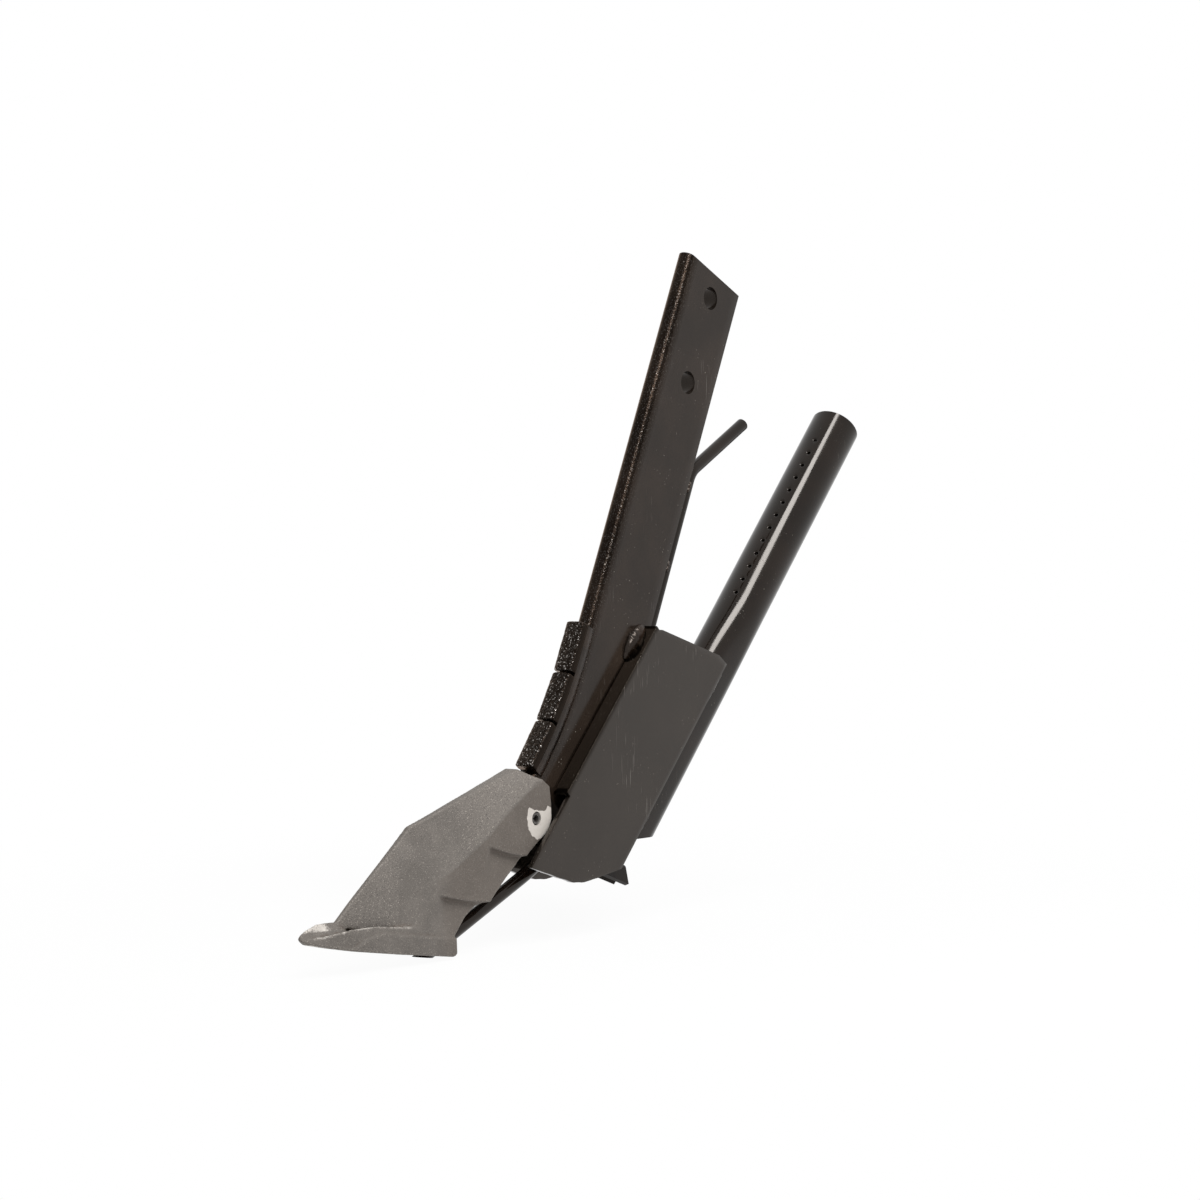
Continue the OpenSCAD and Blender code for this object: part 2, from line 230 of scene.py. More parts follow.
def swept(grid):
    """Closed shape from rows of section points, with a flat face at each end."""
    rows, cols = grid.shape[:2]
    faces = grid_faces(rows, cols, close_cols=True)
    faces.append(list(range(cols))[::-1])
    faces.append([(rows - 1) * cols + k for k in range(cols)])
    points = grid.reshape(-1, 3)
    return points, outward(points, faces)


def ring_shell(grid):
    """Closed shape from a grid that closes on itself both ways, such as a tube's wall."""
    points = grid.reshape(-1, 3)
    return points, outward(points, grid_faces(*grid.shape[:2], True, True))


def joined(shapes):
    """Several shapes as one list of points and faces."""
    points, faces, base = [], [], 0
    for p, f in shapes:
        points.append(p)
        faces += [[i + base for i in face] for face in f]
        base += len(p)
    return np.concatenate(points), faces


def mesh_object(name, shape):
    """A new piece from points in millimetres and its faces."""
    points, faces = shape
    mesh = bpy.data.meshes.new(name)
    mesh.from_pydata((np.asarray(points) * MM).tolist(), [], faces)
    mesh.update()
    thing = bpy.data.objects.new(name, mesh)
    bpy.context.scene.collection.objects.link(thing)
    return thing


def apply_modifiers(thing):
    """Puts what the modifiers make into the mesh, and clears them."""
    graph = bpy.context.evaluated_depsgraph_get()
    graph.update()
    made = bpy.data.meshes.new_from_object(thing.evaluated_get(graph))
    old = thing.data
    thing.modifiers.clear()
    thing.data = made
    made.name = thing.name
    bpy.data.meshes.remove(old)


def cut_away(thing, shape):
    """Takes one shape out of a piece."""
    cutter = mesh_object("cutter", shape)
    mod = thing.modifiers.new("cut", "BOOLEAN")
    mod.operation, mod.solver, mod.object = "DIFFERENCE", "MANIFOLD", cutter
    apply_modifiers(thing)
    old = cutter.data
    bpy.data.objects.remove(cutter)
    bpy.data.meshes.remove(old)


def merge_close(thing, distance):
    """Makes one of any vertices that lie within a distance."""
    mod = thing.modifiers.new("merge", "WELD")
    mod.merge_threshold = distance * MM
    apply_modifiers(thing)


def bevelled(thing, width, segments=2, angle=35):
    """Rounds the edges that are sharper than an angle."""
    mod = thing.modifiers.new("bevel", "BEVEL")
    mod.width, mod.segments = width * MM, segments
    mod.limit_method, mod.angle_limit = "ANGLE", math.radians(angle)
    mod.use_clamp_overlap = True
    apply_modifiers(thing)


def finish_piece(thing, material, nodes, body="opener", sharp=32):
    """Shades a piece, gives it its material, ties it to its body and hides the CAD nodes it stands
    for.
    """
    mesh = thing.data
    mesh.polygons.foreach_set("use_smooth", [True] * len(mesh.polygons))
    mesh.set_sharp_from_angle(angle=math.radians(sharp))
    mesh.materials.clear()
    mesh.materials.append(material)
    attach(thing, body)
    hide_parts(*nodes)


def cylinder(centre, axis, radius, half, sides=64):
    """Cylinder about a centre: rings of radius r at both ends of the axis."""
    axis = np.asarray(axis, float) / np.linalg.norm(axis)
    across = np.cross(axis, [0.3, 0.2, 0.93])
    across /= np.linalg.norm(across)
    other = np.cross(axis, across)
    a = np.linspace(0, 2 * np.pi, sides, endpoint=False)
    ring = radius * (np.cos(a)[:, None] * across + np.sin(a)[:, None] * other)
    return swept(np.stack([centre + ring - half * axis, centre + ring + half * axis]))


def revolved(centre, axis, profile, sides=28):
    """Round solid about an axis: rings at the profile's heights and radii."""
    across = np.cross(axis, [0.3, 0.2, 0.93])
    across /= np.linalg.norm(across)
    a = np.linspace(0, 2 * np.pi, sides, endpoint=False)
    ring = np.cos(a)[:, None] * across + np.sin(a)[:, None] * np.cross(axis, across)
    return swept(np.stack([centre + h * axis + r * ring for h, r in profile]))


def polyline(points, step):
    """Points at about even steps along straight lines between the given points."""
    points = np.asarray(points, float)
    out = [points[:1]]
    for a, b in zip(points[:-1], points[1:]):
        n = max(1, int(math.ceil(np.linalg.norm(b - a) / step)))
        out.append(a + (b - a) * (np.arange(1, n + 1) / n)[:, None])
    return np.concatenate(out)


# ---------------------------------------------------------------- shapes


def bar_section(width, grow=0.0, corner=1.2):
    """Outline of the bar as (setback, y): half a circle in front, small round corners behind."""
    r = SHANK_HALF + grow
    a = np.linspace(-np.pi / 2, np.pi / 2, 29)
    front = np.stack([SHANK_HALF - r * np.cos(a), r * np.sin(a)], -1)
    along = np.linspace(0, 1, 9)[1:]
    rear = width + grow
    side = np.stack([SHANK_HALF + (rear - corner - SHANK_HALF) * along, np.full(8, r)], -1)
    b = np.linspace(np.pi / 2, 0, 5)[1:]
    turn = np.stack([rear - corner + corner * np.cos(b), r - corner + corner * np.sin(b)], -1)
    half = np.concatenate([side, turn])
    return np.concatenate([front, half, half[::-1] * [1, -1]])


def along_front(drops, sections):
    """Sections of (setback, y) carried along the front edge."""
    place, ahead, _ = front_edge(drops)
    s = np.asarray(sections)
    return place[:, None] - s[..., :1] * ahead[:, None] + s[..., 1:] * Y_AXIS


def bar_width(drop):
    """The bar's width: full, then only as far back as the circle that clears the liquid tube."""
    place, ahead, _ = front_edge(drop)
    q = place - LIQUID_CENTRE
    reach = LIQUID_BEND_R - LIQUID_R - 0.05
    along = (q * ahead).sum(-1)
    room = along + np.sqrt(np.maximum(0, along**2 - (q * q).sum(-1) + reach**2))
    return np.where(np.asarray(drop) < LIQUID_STRAIGHT, SHANK_W, np.minimum(SHANK_W, room))


def shank_shape():
    """Bar section carried down the front edge, narrowed to the tang below the shoulder."""
    upper = np.concatenate([np.linspace(-SHANK_TOP, STRAIGHT - 12, 24),
                            np.linspace(STRAIGHT - 9, SHOULDER_DROP, 44)])
    lower = np.linspace(SHOULDER_DROP, TANG_END, 24)
    widths = np.concatenate([bar_width(upper), np.full(len(lower), TANG_W)])
    sections = np.stack([bar_section(w) for w in widths])
    return swept(along_front(np.concatenate([upper, lower]), sections))


def wear_bar_shape(index, seed):
    """Crowned bar: a rounded outline carried along a chord of the front edge, pulled in at its
    ends, with grainy lumps on its front."""
    rows, cols = 96, 120
    t = np.linspace(0, 1, cols, endpoint=False)
    a = 2 * np.pi * t
    wide = WEAR_W / 2
    c, s = np.cos(a), np.sin(a)
    power = np.where(c > 0, 3.2, 9.0)
    bulk = (np.abs(c) ** power + np.abs(s) ** power) ** (-1 / power)
    x = bulk * c * WEAR_D / 2
    y = bulk * s * wide
    z = np.linspace(-1, 1, rows)
    end = 1.5
    rim = np.maximum(0, np.abs(z) * WEAR_LEN / 2 - (WEAR_LEN / 2 - end)) / end
    inset = end * (1 - np.sqrt(np.maximum(0, 1 - rim**2)))
    drop = WEAR_FIRST + index * WEAR_PITCH
    place, ahead, up = (v[0] for v in front_edge(drop))
    centre = place + ahead * (WEAR_SEAT + WEAR_D / 2)
    grid_x = x[None] * (1 - inset[:, None] / (WEAR_D / 2))
    grid_y = y[None] * (1 - inset[:, None] / wide)
    local = np.stack([grid_x, grid_y, np.broadcast_to(z[:, None] * WEAR_LEN / 2, grid_x.shape)], -1)
    rough = lattice_noise(local, 0.9, seed) + 0.8 * lattice_noise(local, 1.9, seed + 1)
    broad = lattice_noise(local, 7.0, seed + 2) - 0.5
    face = smooth_step((c - 0.05) / 0.5)[None] * (1 - rim[:, None] ** 2 * 0.5)
    lift = face * (0.34 * (rough - 0.9) + 0.5 * broad)
    local[..., 0] += lift * np.maximum(0.2, c)[None]
    local[..., 1] += lift * s[None] * 0.4
    grid = centre + local[..., :1] * ahead + local[..., 1:2] * Y_AXIS + local[..., 2:] * up
    return swept(grid)


def wear_weld_shape(side, seed):
    """Fillet between the bars and the shank's side: a bulging section with ripples."""
    drops = np.linspace(WEAR_FIRST - WEAR_LEN / 2 + 0.6,
                        WEAR_FIRST + 2 * WEAR_PITCH + WEAR_LEN / 2 - 0.6, 260)
    a = np.linspace(0, 1, 15)
    run = drops[:, None]
    ripple = 0.16 * np.abs(np.sin(run / 1.5)) + 0.7 * (lattice_noise(
        np.stack([run, run * 0, run * 0], -1), 9.0, seed) - 0.5)
    s = -0.1 + (8.3 + ripple) * a[None]
    bulge = np.sin(np.pi * a)[None]
    y = 7.1 - 0.75 * a[None] ** 1.5 + (0.35 + 0.4 * ripple) * bulge
    inner_s = np.array([6.0, 0.6])
    inner_y = np.array([4.6, 3.6])
    s = np.concatenate([s, np.broadcast_to(inner_s, (len(drops), 2))], 1)
    y = np.concatenate([y, np.broadcast_to(inner_y, (len(drops), 2))], 1)
    return swept(along_front(drops, np.stack([s, side * y], -1)))


def tube_wall(centres, across, side, outer, inner):
    """Wall of a tube: outer rings along the path, then the bore's rings back, closed both ways."""
    a = np.linspace(0, 2 * np.pi, 40, endpoint=False)

    def rings(radius, keep):
        r = radius * (np.cos(a)[None, :, None] * across[keep][:, None]
                      + np.sin(a)[None, :, None] * side)
        return centres[keep][:, None] + r

    n = np.arange(len(centres))
    return np.concatenate([rings(outer, n), rings(inner, n[::-1])])


def liquid_path():
    """Centre line and the in-plane normal: straight end, bend, straight, long bend, straight."""
    cut = INLET_BEND_R * math.tan(INLET_TURN / 2)
    ahead, up = leaning(LEAN + INLET_TURN)
    corner = shank_point(LIQUID_V, -INLET_DROP)
    pieces = []
    t = np.linspace(INLET_END, cut, 12)
    pieces.append((corner + t[:, None] * up, np.broadcast_to(ahead, (12, 3))))
    turn = np.linspace(INLET_TURN, 0, 12)[1:]
    ahead, _ = leaning(LEAN + turn)
    hub = shank_point(LIQUID_V - INLET_BEND_R, -INLET_DROP - cut)
    pieces.append((hub + INLET_BEND_R * ahead, ahead))
    t = np.linspace(INLET_DROP + cut, LIQUID_STRAIGHT, 20)[1:]
    ahead, up = leaning(LEAN)
    base = shank_point(LIQUID_V, 0)
    pieces.append((base - t[:, None] * up, np.broadcast_to(ahead, (19, 3))))
    turn = np.linspace(0, LIQUID_TURN, 50)[1:]
    ahead, _ = leaning(LEAN + turn)
    pieces.append((LIQUID_CENTRE - LIQUID_BEND_R * ahead, ahead))
    ahead, up = leaning(LEAN + LIQUID_TURN)
    start = LIQUID_CENTRE - LIQUID_BEND_R * ahead
    t = np.linspace(0, 107, 14)[1:]
    pieces.append((start - t[:, None] * up, np.broadcast_to(ahead, (13, 3))))
    return np.concatenate([p for p, _ in pieces]), np.concatenate([a for _, a in pieces])


def liquid_tube_shape():
    """Liquid tube's wall along its path; the lower end is cut level with the foot's sole."""
    centres, across = liquid_path()
    wall = tube_wall(centres, across, Y_AXIS, LIQUID_R, LIQUID_BORE)
    _, up = leaning(LEAN + LIQUID_TURN)
    n = len(centres)
    tilt = math.radians(8.0)
    normal = np.array([-math.sin(tilt), 0.0, math.cos(tilt)])
    level = PIN_PLACE + np.array([83.6, 0.0, -73.4]) - 14.7 * normal
    for row in (n - 1, n):
        wall[row] -= ((wall[row] - level) @ normal / (up @ normal))[:, None] * up
    return ring_shell(wall)


def seed_section(z):
    """Half thickness and half straight run of the seed tube: round above, pressed flat below
    with the same girth."""
    half = SEED_FLAT_HALF + (SEED_R - SEED_FLAT_HALF) * smooth_step((z - 184) / 68)
    return half, math.pi / 2 * (SEED_R - half)


def outlet_height(x):
    """Height along the boot's lean where the level outlet cut crosses a line at x."""
    return (-OUTLET_DROP - x * math.sin(SEED_LEAN)) / math.cos(SEED_LEAN)


def seed_tube_shape():
    """Seed tube's wall: the section's rounded ends are b*cos and b*sin of an angle, and its flats
    come from a clipped cosine that carries the two ends apart."""
    cols = 112
    a = np.linspace(0, 2 * np.pi, cols, endpoint=False)
    spread = np.clip(np.cos(a) / 0.22, -1, 1)
    heights = np.concatenate([[0.0, 0.15, 0.4, 0.7], np.linspace(1, 2, 90)])

    def rings(inset, order):
        out = []
        for h in order:
            if h < 1:
                half, run = seed_section(60.0)
                x = (half - inset) * np.cos(a) + run * spread - BOOT_DEPTH
                base = outlet_height(x)
                z = base + (75.0 - base) * h
            else:
                z0 = 75.0 + (SEED_REACH - 75.0) * (h - 1)
                half, run = seed_section(z0)
                x = (half - inset) * np.cos(a) + run * spread - BOOT_DEPTH
                z = np.full(cols, z0)
            out.append(boot_point(x, (half - inset) * np.sin(a), z))
        return np.array(out)

    rim = 0.35
    outer = rings(0.0, heights)
    inner = rings(SEED_WALL, heights[::-1])
    outer_end = rings(rim, [heights[-1]])
    inner_end = rings(SEED_WALL - rim, [heights[-1]])
    outer[-1] -= rim * BOOT_UP
    inner[0] -= rim * BOOT_UP
    return ring_shell(np.concatenate([outer, outer_end, inner_end, inner]))


def air_hole_shapes():
    """Cutters for the air holes, in three rows round the seed tube: rods that widen into a
    dimple at the outside."""
    rods = []
    for row in range(3):
        angle = AIR_ROW + row * 2 * math.pi / 3
        out = math.cos(angle) * BOOT_AHEAD + math.sin(angle) * Y_AXIS
        for k in range(AIR_COUNT):
            height = SEED_REACH - AIR_FIRST - k * AIR_PITCH
            centre = boot_point(-BOOT_DEPTH, 0, height) + out * SEED_R
            rods.append(revolved(centre, out, ((-4.5, AIR_R), (-0.75, AIR_R), (-0.45, AIR_R + 0.2),
                                               (-0.1, AIR_R + 1.0), (0.6, AIR_R + 3.5))))
    return joined(rods)


def plate_top(x):
    """Height of a side plate's upper edge: straight lines between its corners."""
    return np.interp(x, [PLATE_REAR, PLATE_REAR + 12, -4.0], [191.0, 189.5, 155.0])


def plate_foot(x):
    """Height of a side plate's lower edge: straight lines between its corners."""
    return np.interp(x, [PLATE_REAR, PLATE_REAR + 17, PLATE_REAR + 28, PLATE_REAR + 37.4, -4.0],
                     [-1.0, -22.0, -34.6, -42.0, -63.0])


def boot_side_shape(side):
    """Outer face of a side plate and its front flange, as a sheet: a developed profile (side,
    quarter-round bend, flange) by height. The side also runs on below the flange."""
    xs = np.unique(np.concatenate([np.linspace(PLATE_REAR, -4.0, 28), [PLATE_REAR + 12,
                   PLATE_REAR + 17, PLATE_REAR + 28, PLATE_REAR + 37.4]]))
    a = np.linspace(np.pi / 2, 0, 5)
    bend = np.stack([-0.6 + 0.6 * np.cos(a), BOOT_HALF - 0.6 + 0.6 * np.sin(a)], -1)
    flange = np.stack([np.zeros(6), np.linspace(BOOT_HALF - 1.5, SHANK_HALF + 0.05, 6)], -1)
    profile = np.concatenate([np.stack([xs, np.full(len(xs), BOOT_HALF)], -1), bend, flange])
    v = np.linspace(0, 1, 40)
    top = np.where(profile[:, 0] < -4, plate_top(profile[:, 0]), FLANGE_TOP)
    upper = boot_point(profile[:, :1], side * profile[:, 1:], top[:, None] * v)
    wave = 0.5 * (lattice_noise(np.stack([xs, xs * 0, xs * 0], -1), 3.0, 5) - 0.5)
    foot = (plate_foot(xs) + wave)[:, None]
    lower = boot_point(xs[:, None], side * BOOT_HALF, foot * (1 - np.linspace(0, 1, 9)))
    faces_u = grid_faces(*upper.shape[:2])
    faces_l = grid_faces(*lower.shape[:2])
    if side < 0:
        faces_u = [f[::-1] for f in faces_u]
        faces_l = [f[::-1] for f in faces_l]
    return joined([(upper.reshape(-1, 3), faces_u), (lower.reshape(-1, 3), faces_l)])


def blob_bead(path, radii, seed, squash=1.0, lump=2.6, amount=0.5):
    """Rough bead: rings round a path, whose radius swells, ripples and closes at both ends."""
    path = np.asarray(path, float)
    n = len(path)
    tangent = np.gradient(path, axis=0)
    tangent /= np.linalg.norm(tangent, axis=1)[:, None]
    side = np.cross(tangent, Y_AXIS)
    side /= np.linalg.norm(side, axis=1)[:, None]
    other = np.cross(tangent, side)
    t = np.linspace(-1, 1, n)
    taper = np.sqrt(np.maximum(0.02, 1 - np.abs(t) ** 6))
    a = np.linspace(0, 2 * np.pi, 28, endpoint=False)
    ring = (np.cos(a)[None, :, None] * side[:, None]
            + squash * np.sin(a)[None, :, None] * other[:, None])
    base = path[:, None] + ring * 3
    lumps = (1 - amount / 2 + amount * lattice_noise(base, lump, seed)
             + 0.4 * amount * (lattice_noise(base, lump / 2.4, seed + 1) - 0.5))
    grid = path[:, None] + ring * (np.asarray(radii) * taper)[:, None, None] * lumps[..., None]
    return swept(grid)


def boot_weld_shape(side, seed):
    """Rough weld at the flange's top, and the short one at its foot."""
    y = side * (SHANK_HALF + 0.4)
    n = 60
    t = np.linspace(0, 1, n)
    path = boot_point(0.4 + 0.9 * np.sin(t * 7), y, 121 + 33 * t)
    radii = 3.6 + 4.6 * np.sin(np.pi * np.clip(1.15 * t - 0.15, 0, 1)) ** 0.7
    top = blob_bead(path, radii, seed, squash=0.62, lump=6.0, amount=0.34)
    out = side * (SHANK_HALF + 0.3 + 9.0 * t[:30] * 2)
    foot = blob_bead(boot_point(-1.2, out, -1.8), np.full(30, 2.0), seed + 3)
    return joined([top, foot])


def seam_weld_shape(side, seed):
    """Thin weld between a plate's rear edge and the seed tube."""
    y = side * (SEED_FLAT_HALF + 1.2)
    t = np.linspace(0, 1, 60)
    upper = blob_bead(boot_point(PLATE_REAR - 1.0, y, 152 + 33 * t), np.full(60, 1.8), seed)
    lower = blob_bead(boot_point(PLATE_REAR - 1.0, y, 33 + 20 * t), np.full(60, 1.7), seed + 2)
    return joined([upper, lower])


def tack_shapes(seed):
    """Tacks beside the liquid tube on the shank's rear edge."""
    beads = []
    for drop in (104, 168, 232):
        for side in (-1, 1):
            t = np.linspace(-4.5, 4.5, 30)
            path = np.array([shank_point(REAR_V - 1.4, -drop - d) for d in t]) + side * 4.6 * Y_AXIS
            beads.append(blob_bead(path, np.full(30, 1.7), seed + drop + side))
    return joined(beads)


def split_pin_shape():
    """Spring pin: a curled strip with a slit, its ends chamfered."""
    half = POINT_HALF - 0.5
    gap = math.asin(0.6 / PIN_R)
    a = np.linspace(gap, 2 * np.pi - gap, 72)
    chamfer = 0.8
    rows = []
    for y, out in ((-half, PIN_R - chamfer), (-half + chamfer * 1.6, PIN_R),
                   (half - chamfer * 1.6, PIN_R), (half, PIN_R - chamfer)):
        outer = np.stack([out * np.cos(a), np.full(72, y), out * np.sin(a)], -1)
        inner = np.stack([PIN_BORE * np.cos(a[::-1]), np.full(72, y),
                          PIN_BORE * np.sin(a[::-1])], -1)
        rows.append(np.concatenate([outer, inner]))
    return swept(PIN_PLACE + np.array(rows))


def blade_shape():
    """Upper body of the casting: each station joins a rear, a crease and a front place in the
    upright plane about the pin, and a half thickness; the side is ruled between them, less the
    two steps cut below the pin."""
    # rear x, z | crease x, z | second crease x, z, half | front x, z, half
    stations = np.array([
        [-6.5, 26.8, -2.0, 27.5, 4.0, 31.0, 9.0, 10.6, 34.4, 5.4],
        [-14.9, 21.2, 4.0, 21.4, 14.0, 26.5, 9.5, 20.5, 31.6, 4.6],
        [-16.9, 9.5, 13.0, 16.8, 24.0, 22.2, 9.0, 32.0, 28.2, 4.0],
        [-17.4, -1.8, 22.0, 11.6, 34.0, 17.6, 8.6, 44.0, 24.6, 3.6],
        [-14.0, -9.5, 31.0, 6.0, 44.0, 13.4, 8.2, 56.0, 21.0, 3.2],
        [-1.8, -17.0, 40.0, 0.0, 56.0, 9.2, 7.9, 70.0, 16.8, 2.8],
        [10.5, -25.3, 50.7, -8.2, 70.0, 4.0, 7.6, 86.0, 12.0, 2.5],
        [18.7, -31.0, 60.0, -13.5, 82.0, -1.5, 7.3, 99.0, 8.0, 2.2],
        [31.0, -39.0, 70.0, -18.5, 94.0, -6.0, 7.0, 109.0, 5.0, 2.0],
        [41.7, -46.3, 80.0, -23.5, 108.0, -12.0, 6.8, 118.6, 2.4, 1.9],
        [49.3, -53.1, 92.0, -30.0, 128.5, -18.0, 6.6, 131.0, -7.7, 1.8],
        [60.0, -54.7, 100.0, -38.0, 133.5, -30.0, 7.6, 146.0, -19.4, 1.7],
        [71.7, -60.7, 108.0, -48.0, 135.0, -42.0, 9.0, 160.0, -30.3, 1.7],
        [86.0, -73.0, 116.0, -62.0, 139.2, -56.3, 10.4, 176.0, -42.5, 1.6],
        [96.0, -80.0, 122.0, -74.0, 142.0, -68.0, 11.0, 191.5, -55.5, 1.6],
    ])
    n = 250
    place = np.linspace(0, len(stations) - 1, n)
    at = np.stack([np.interp(place, np.arange(len(stations)), col) for col in stations.T], -1)
    full = np.full(n, POINT_HALF)
    keys = np.stack([np.stack([at[:, 0], at[:, 1], full - 0.6], -1),
                     np.stack([at[:, 0] * 0.97 + at[:, 2] * 0.03, at[:, 1] * 0.97 + at[:, 3] * 0.03,
                               full], -1),
                     np.stack([at[:, 2], at[:, 3], full - 0.15], -1), at[:, 4:7], at[:, 7:10]], 1)
    spread = np.array([0.0, 0.04, 0.42, 0.72, 1.0])
    t = np.linspace(0, 1, 110)
    k = np.clip(np.searchsorted(spread, t, side="right") - 1, 0, 3)
    f = ((t - spread[k]) / (spread[k + 1] - spread[k]))[None, :, None]
    side = keys[:, k] * (1 - f) + keys[:, k + 1] * f
    x, z, half = side[..., 0], side[..., 1], side[..., 2]
    for a, b, depth, fade in (((10.4, -25.2), (49.9, -15.6), 4.2, 27.0),
                              ((51.6, -52.7), (101.0, -44.0), 4.4, 30.0)):
        a, b = np.array(a), np.array(b)
        run = (b - a) / np.linalg.norm(b - a)
        along = (x - a[0]) * run[0] + (z - a[1]) * run[1]
        below = (x - a[0]) * run[1] - (z - a[1]) * run[0]
        sag = 1.2 * np.sin(np.clip(along / np.linalg.norm(b - a), 0, 1) * np.pi)
        below = below - sag
        reach = along / np.linalg.norm(b - a)
        cut = smooth_step((below + 0.4) / 1.2) * np.clip(1 - below / fade, 0, 1)
        lip = np.exp(-((below + 0.9) / 0.8) ** 2) * 0.45
        half = half + (lip - depth * cut) * smooth_step((1.06 - reach) / 0.25) * (along > -14)
    left = PIN_PLACE + np.stack([x, half, z], -1)
    right = left * [1, -1, 1]
    return swept(np.concatenate([left, right[:, ::-1]], 1))


def foot_shape():
    """Foot of the casting: upright sections by distance ahead of the pin, each running from the
    ridge over a raised lip, down the side and across the sole."""
    x = np.linspace(83.6, 222.6, 180)

    def by_x(*pairs):
        return np.interp(x, pairs[0::2], pairs[1::2])

    side_y = by_x(83.6, 13.4, 86.5, 14.5, 176, 14.5, 186, 13.4, 197.7, 9.6, 212.7, 5.2,
                  220, 2.8, 222.6, 1.2)
    lip_y = by_x(83.6, 12.2, 86, 13.2, 161.7, 13.05, 185.7, 12.2, 197.7, 8.3, 212.7, 4.3,
                 222.6, 0.9)
    lip_z = by_x(83.6, -73.4, 90, -71.6, 100, -66.5, 110, -64.0, 161.7, -57.6, 185.7, -57.4,
                 197.7, -59.4, 212.7, -61.6, 222.6, -60.6)
    top_y = by_x(83.6, 13.0, 86.5, 14.5, 176, 14.5, 186, 13.0, 197.7, 9.2, 212.7, 4.9, 222.6, 1.1)
    ledge_z = 1.0 * smooth_step((x - 83.6) / 3) * smooth_step((200 - x) / 12)
    top_z = by_x(83.6, -74.4, 141, -66.3, 156.6, -63.4, 172.2, -65.0, 186.3, -71.2, 197.7, -69.0,
                 212.7, -65.2, 222.6, -61.4)
    sole_z = by_x(83.6, -84.6, 87.4, -85.9, 140.7, -78.6, 185.7, -71.8, 215.7, -65.8, 222.6, -62.2)
    ridge_z = by_x(83.6, -75.0, 150, -66.0, 180, -60.5, 189.7, -53.6, 198.7, -52.8, 206.7, -53.0,
                   217.2, -56.2, 222.6, -59.2)
    leaf_z = by_x(83.6, -75.4, 150, -66.5, 186, -61.0, 199.7, -59.8, 204.2, -61.9, 209.2, -62.6,
                  215.7, -62.5, 222.6, -60.2)
    leaf_y = lip_y * by_x(83.6, 0.62, 186, 0.62, 197.7, 0.7, 212.7, 0.78, 222.6, 0.9)
    nose = by_x(83.6, 0.0, 185, 0.0, 197, 1.0, 222.6, 1.0)
    ridge_y = 1.6 * (1 - nose) + 0.5 * nose
    leaf_z = np.where(nose > 0.5, np.minimum(leaf_z, lip_z + 0.4), leaf_z)
    zero = np.zeros(len(x))
    keys = np.stack([np.stack(p, -1) for p in (
        (zero, ridge_z), (ridge_y, ridge_z - 0.1), (leaf_y, leaf_z), (lip_y - 0.9, lip_z - 0.25),
        (lip_y + 0.2, lip_z - 0.3), (top_y - 0.9 * ledge_z, top_z + 0.9 * ledge_z), (top_y, top_z),
        (side_y, sole_z + 0.8), (side_y - 0.9, sole_z), (zero, sole_z))], 1)
    half = np.stack([polyline_even(k, 9) for k in keys])
    left = np.stack([np.broadcast_to(x[:, None], half.shape[:2]), half[..., 0], half[..., 1]], -1)
    grid = np.concatenate([left, left[:, -2:0:-1] * [1, -1, 1]], 1)
    return swept(PIN_PLACE + grid)


def polyline_even(points, n):
    """n points along every straight part of a line, and its last point."""
    t = np.arange(n) / n
    parts = points[:-1, None] * (1 - t)[None, :, None] + points[1:, None] * t[None, :, None]
    return np.concatenate([parts.reshape(-1, points.shape[-1]), points[-1:]])


def tube_cutter(grow):
    """The liquid tube's solid, a little thicker, for the slot it lies in."""
    centres, across = liquid_path()
    keep = np.arange(len(centres)) > 60
    centres, across = centres[keep], across[keep]
    _, up = leaning(LEAN + LIQUID_TURN)
    centres = np.concatenate([centres, [centres[-1] - 14 * up]])
    across = np.concatenate([across, across[-1:]])
    a = np.linspace(0, 2 * np.pi, 48, endpoint=False)
    r = (LIQUID_R + grow) * (np.cos(a)[None, :, None] * across[:, None]
                             + np.sin(a)[None, :, None] * Y_AXIS)
    return swept(centres[:, None] + r)


def socket_cutter():
    """The tang's room in the casting."""
    drops = np.linspace(SHOULDER_DROP - 30, TANG_END + 1, 40)
    section = bar_section(TANG_W, 0.3)
    return swept(along_front(drops, np.broadcast_to(section, (40,) + section.shape)))


def splitter_point(along, y, up):
    """Points of the deflector's frame: along it from its lower end, left, and up."""
    end = BOOT_PLACE + np.array([-85.5, 0.0, -70.5])
    pitch = math.radians(19)
    ahead = np.array([math.cos(pitch), 0, math.sin(pitch)])
    rise = np.array([-math.sin(pitch), 0, math.cos(pitch)])
    along, y, up = np.broadcast_arrays(along, y, up)
    return end + along[..., None] * ahead + y[..., None] * Y_AXIS + up[..., None] * rise


def deflector_shape():
    """Folded plate: an inverted V with a rounded fold, carried along its length."""
    outer = np.array([[-8, -1.5], [-2.4, 10.6], [-1.2, 11.8], [1.2, 11.8], [2.4, 10.6], [8, -1.5]])
    inner = np.array([[5, -2.8], [1.4, 6.0], [0.5, 7.2], [-0.5, 7.2], [-1.4, 6.0], [-5, -2.8]])
    section = polyline(np.concatenate([outer, inner, outer[:1]]), 1.5)[:-1]
    t = np.linspace(0, 54, 28)
    return swept(splitter_point(t[:, None], section[None, :, 0], section[None, :, 1]))


def strap_shape():
    """Flat strap across the boot that holds the deflector, with rounded long edges."""
    a = np.linspace(0, 2 * np.pi, 48, endpoint=False)
    c, s = np.cos(a), np.sin(a)
    bulk = (np.abs(c) ** 8 + np.abs(s) ** 8) ** (-1 / 8)
    x, z = 45 + 7 * bulk * c, 13.5 + 1.5 * bulk * s
    half = BOOT_HALF - PLATE_T - 0.05
    y = np.linspace(-half, half, 24)
    return swept(splitter_point(x[None], y[:, None], z[None]))


# ---------------------------------------------------------------- finishes


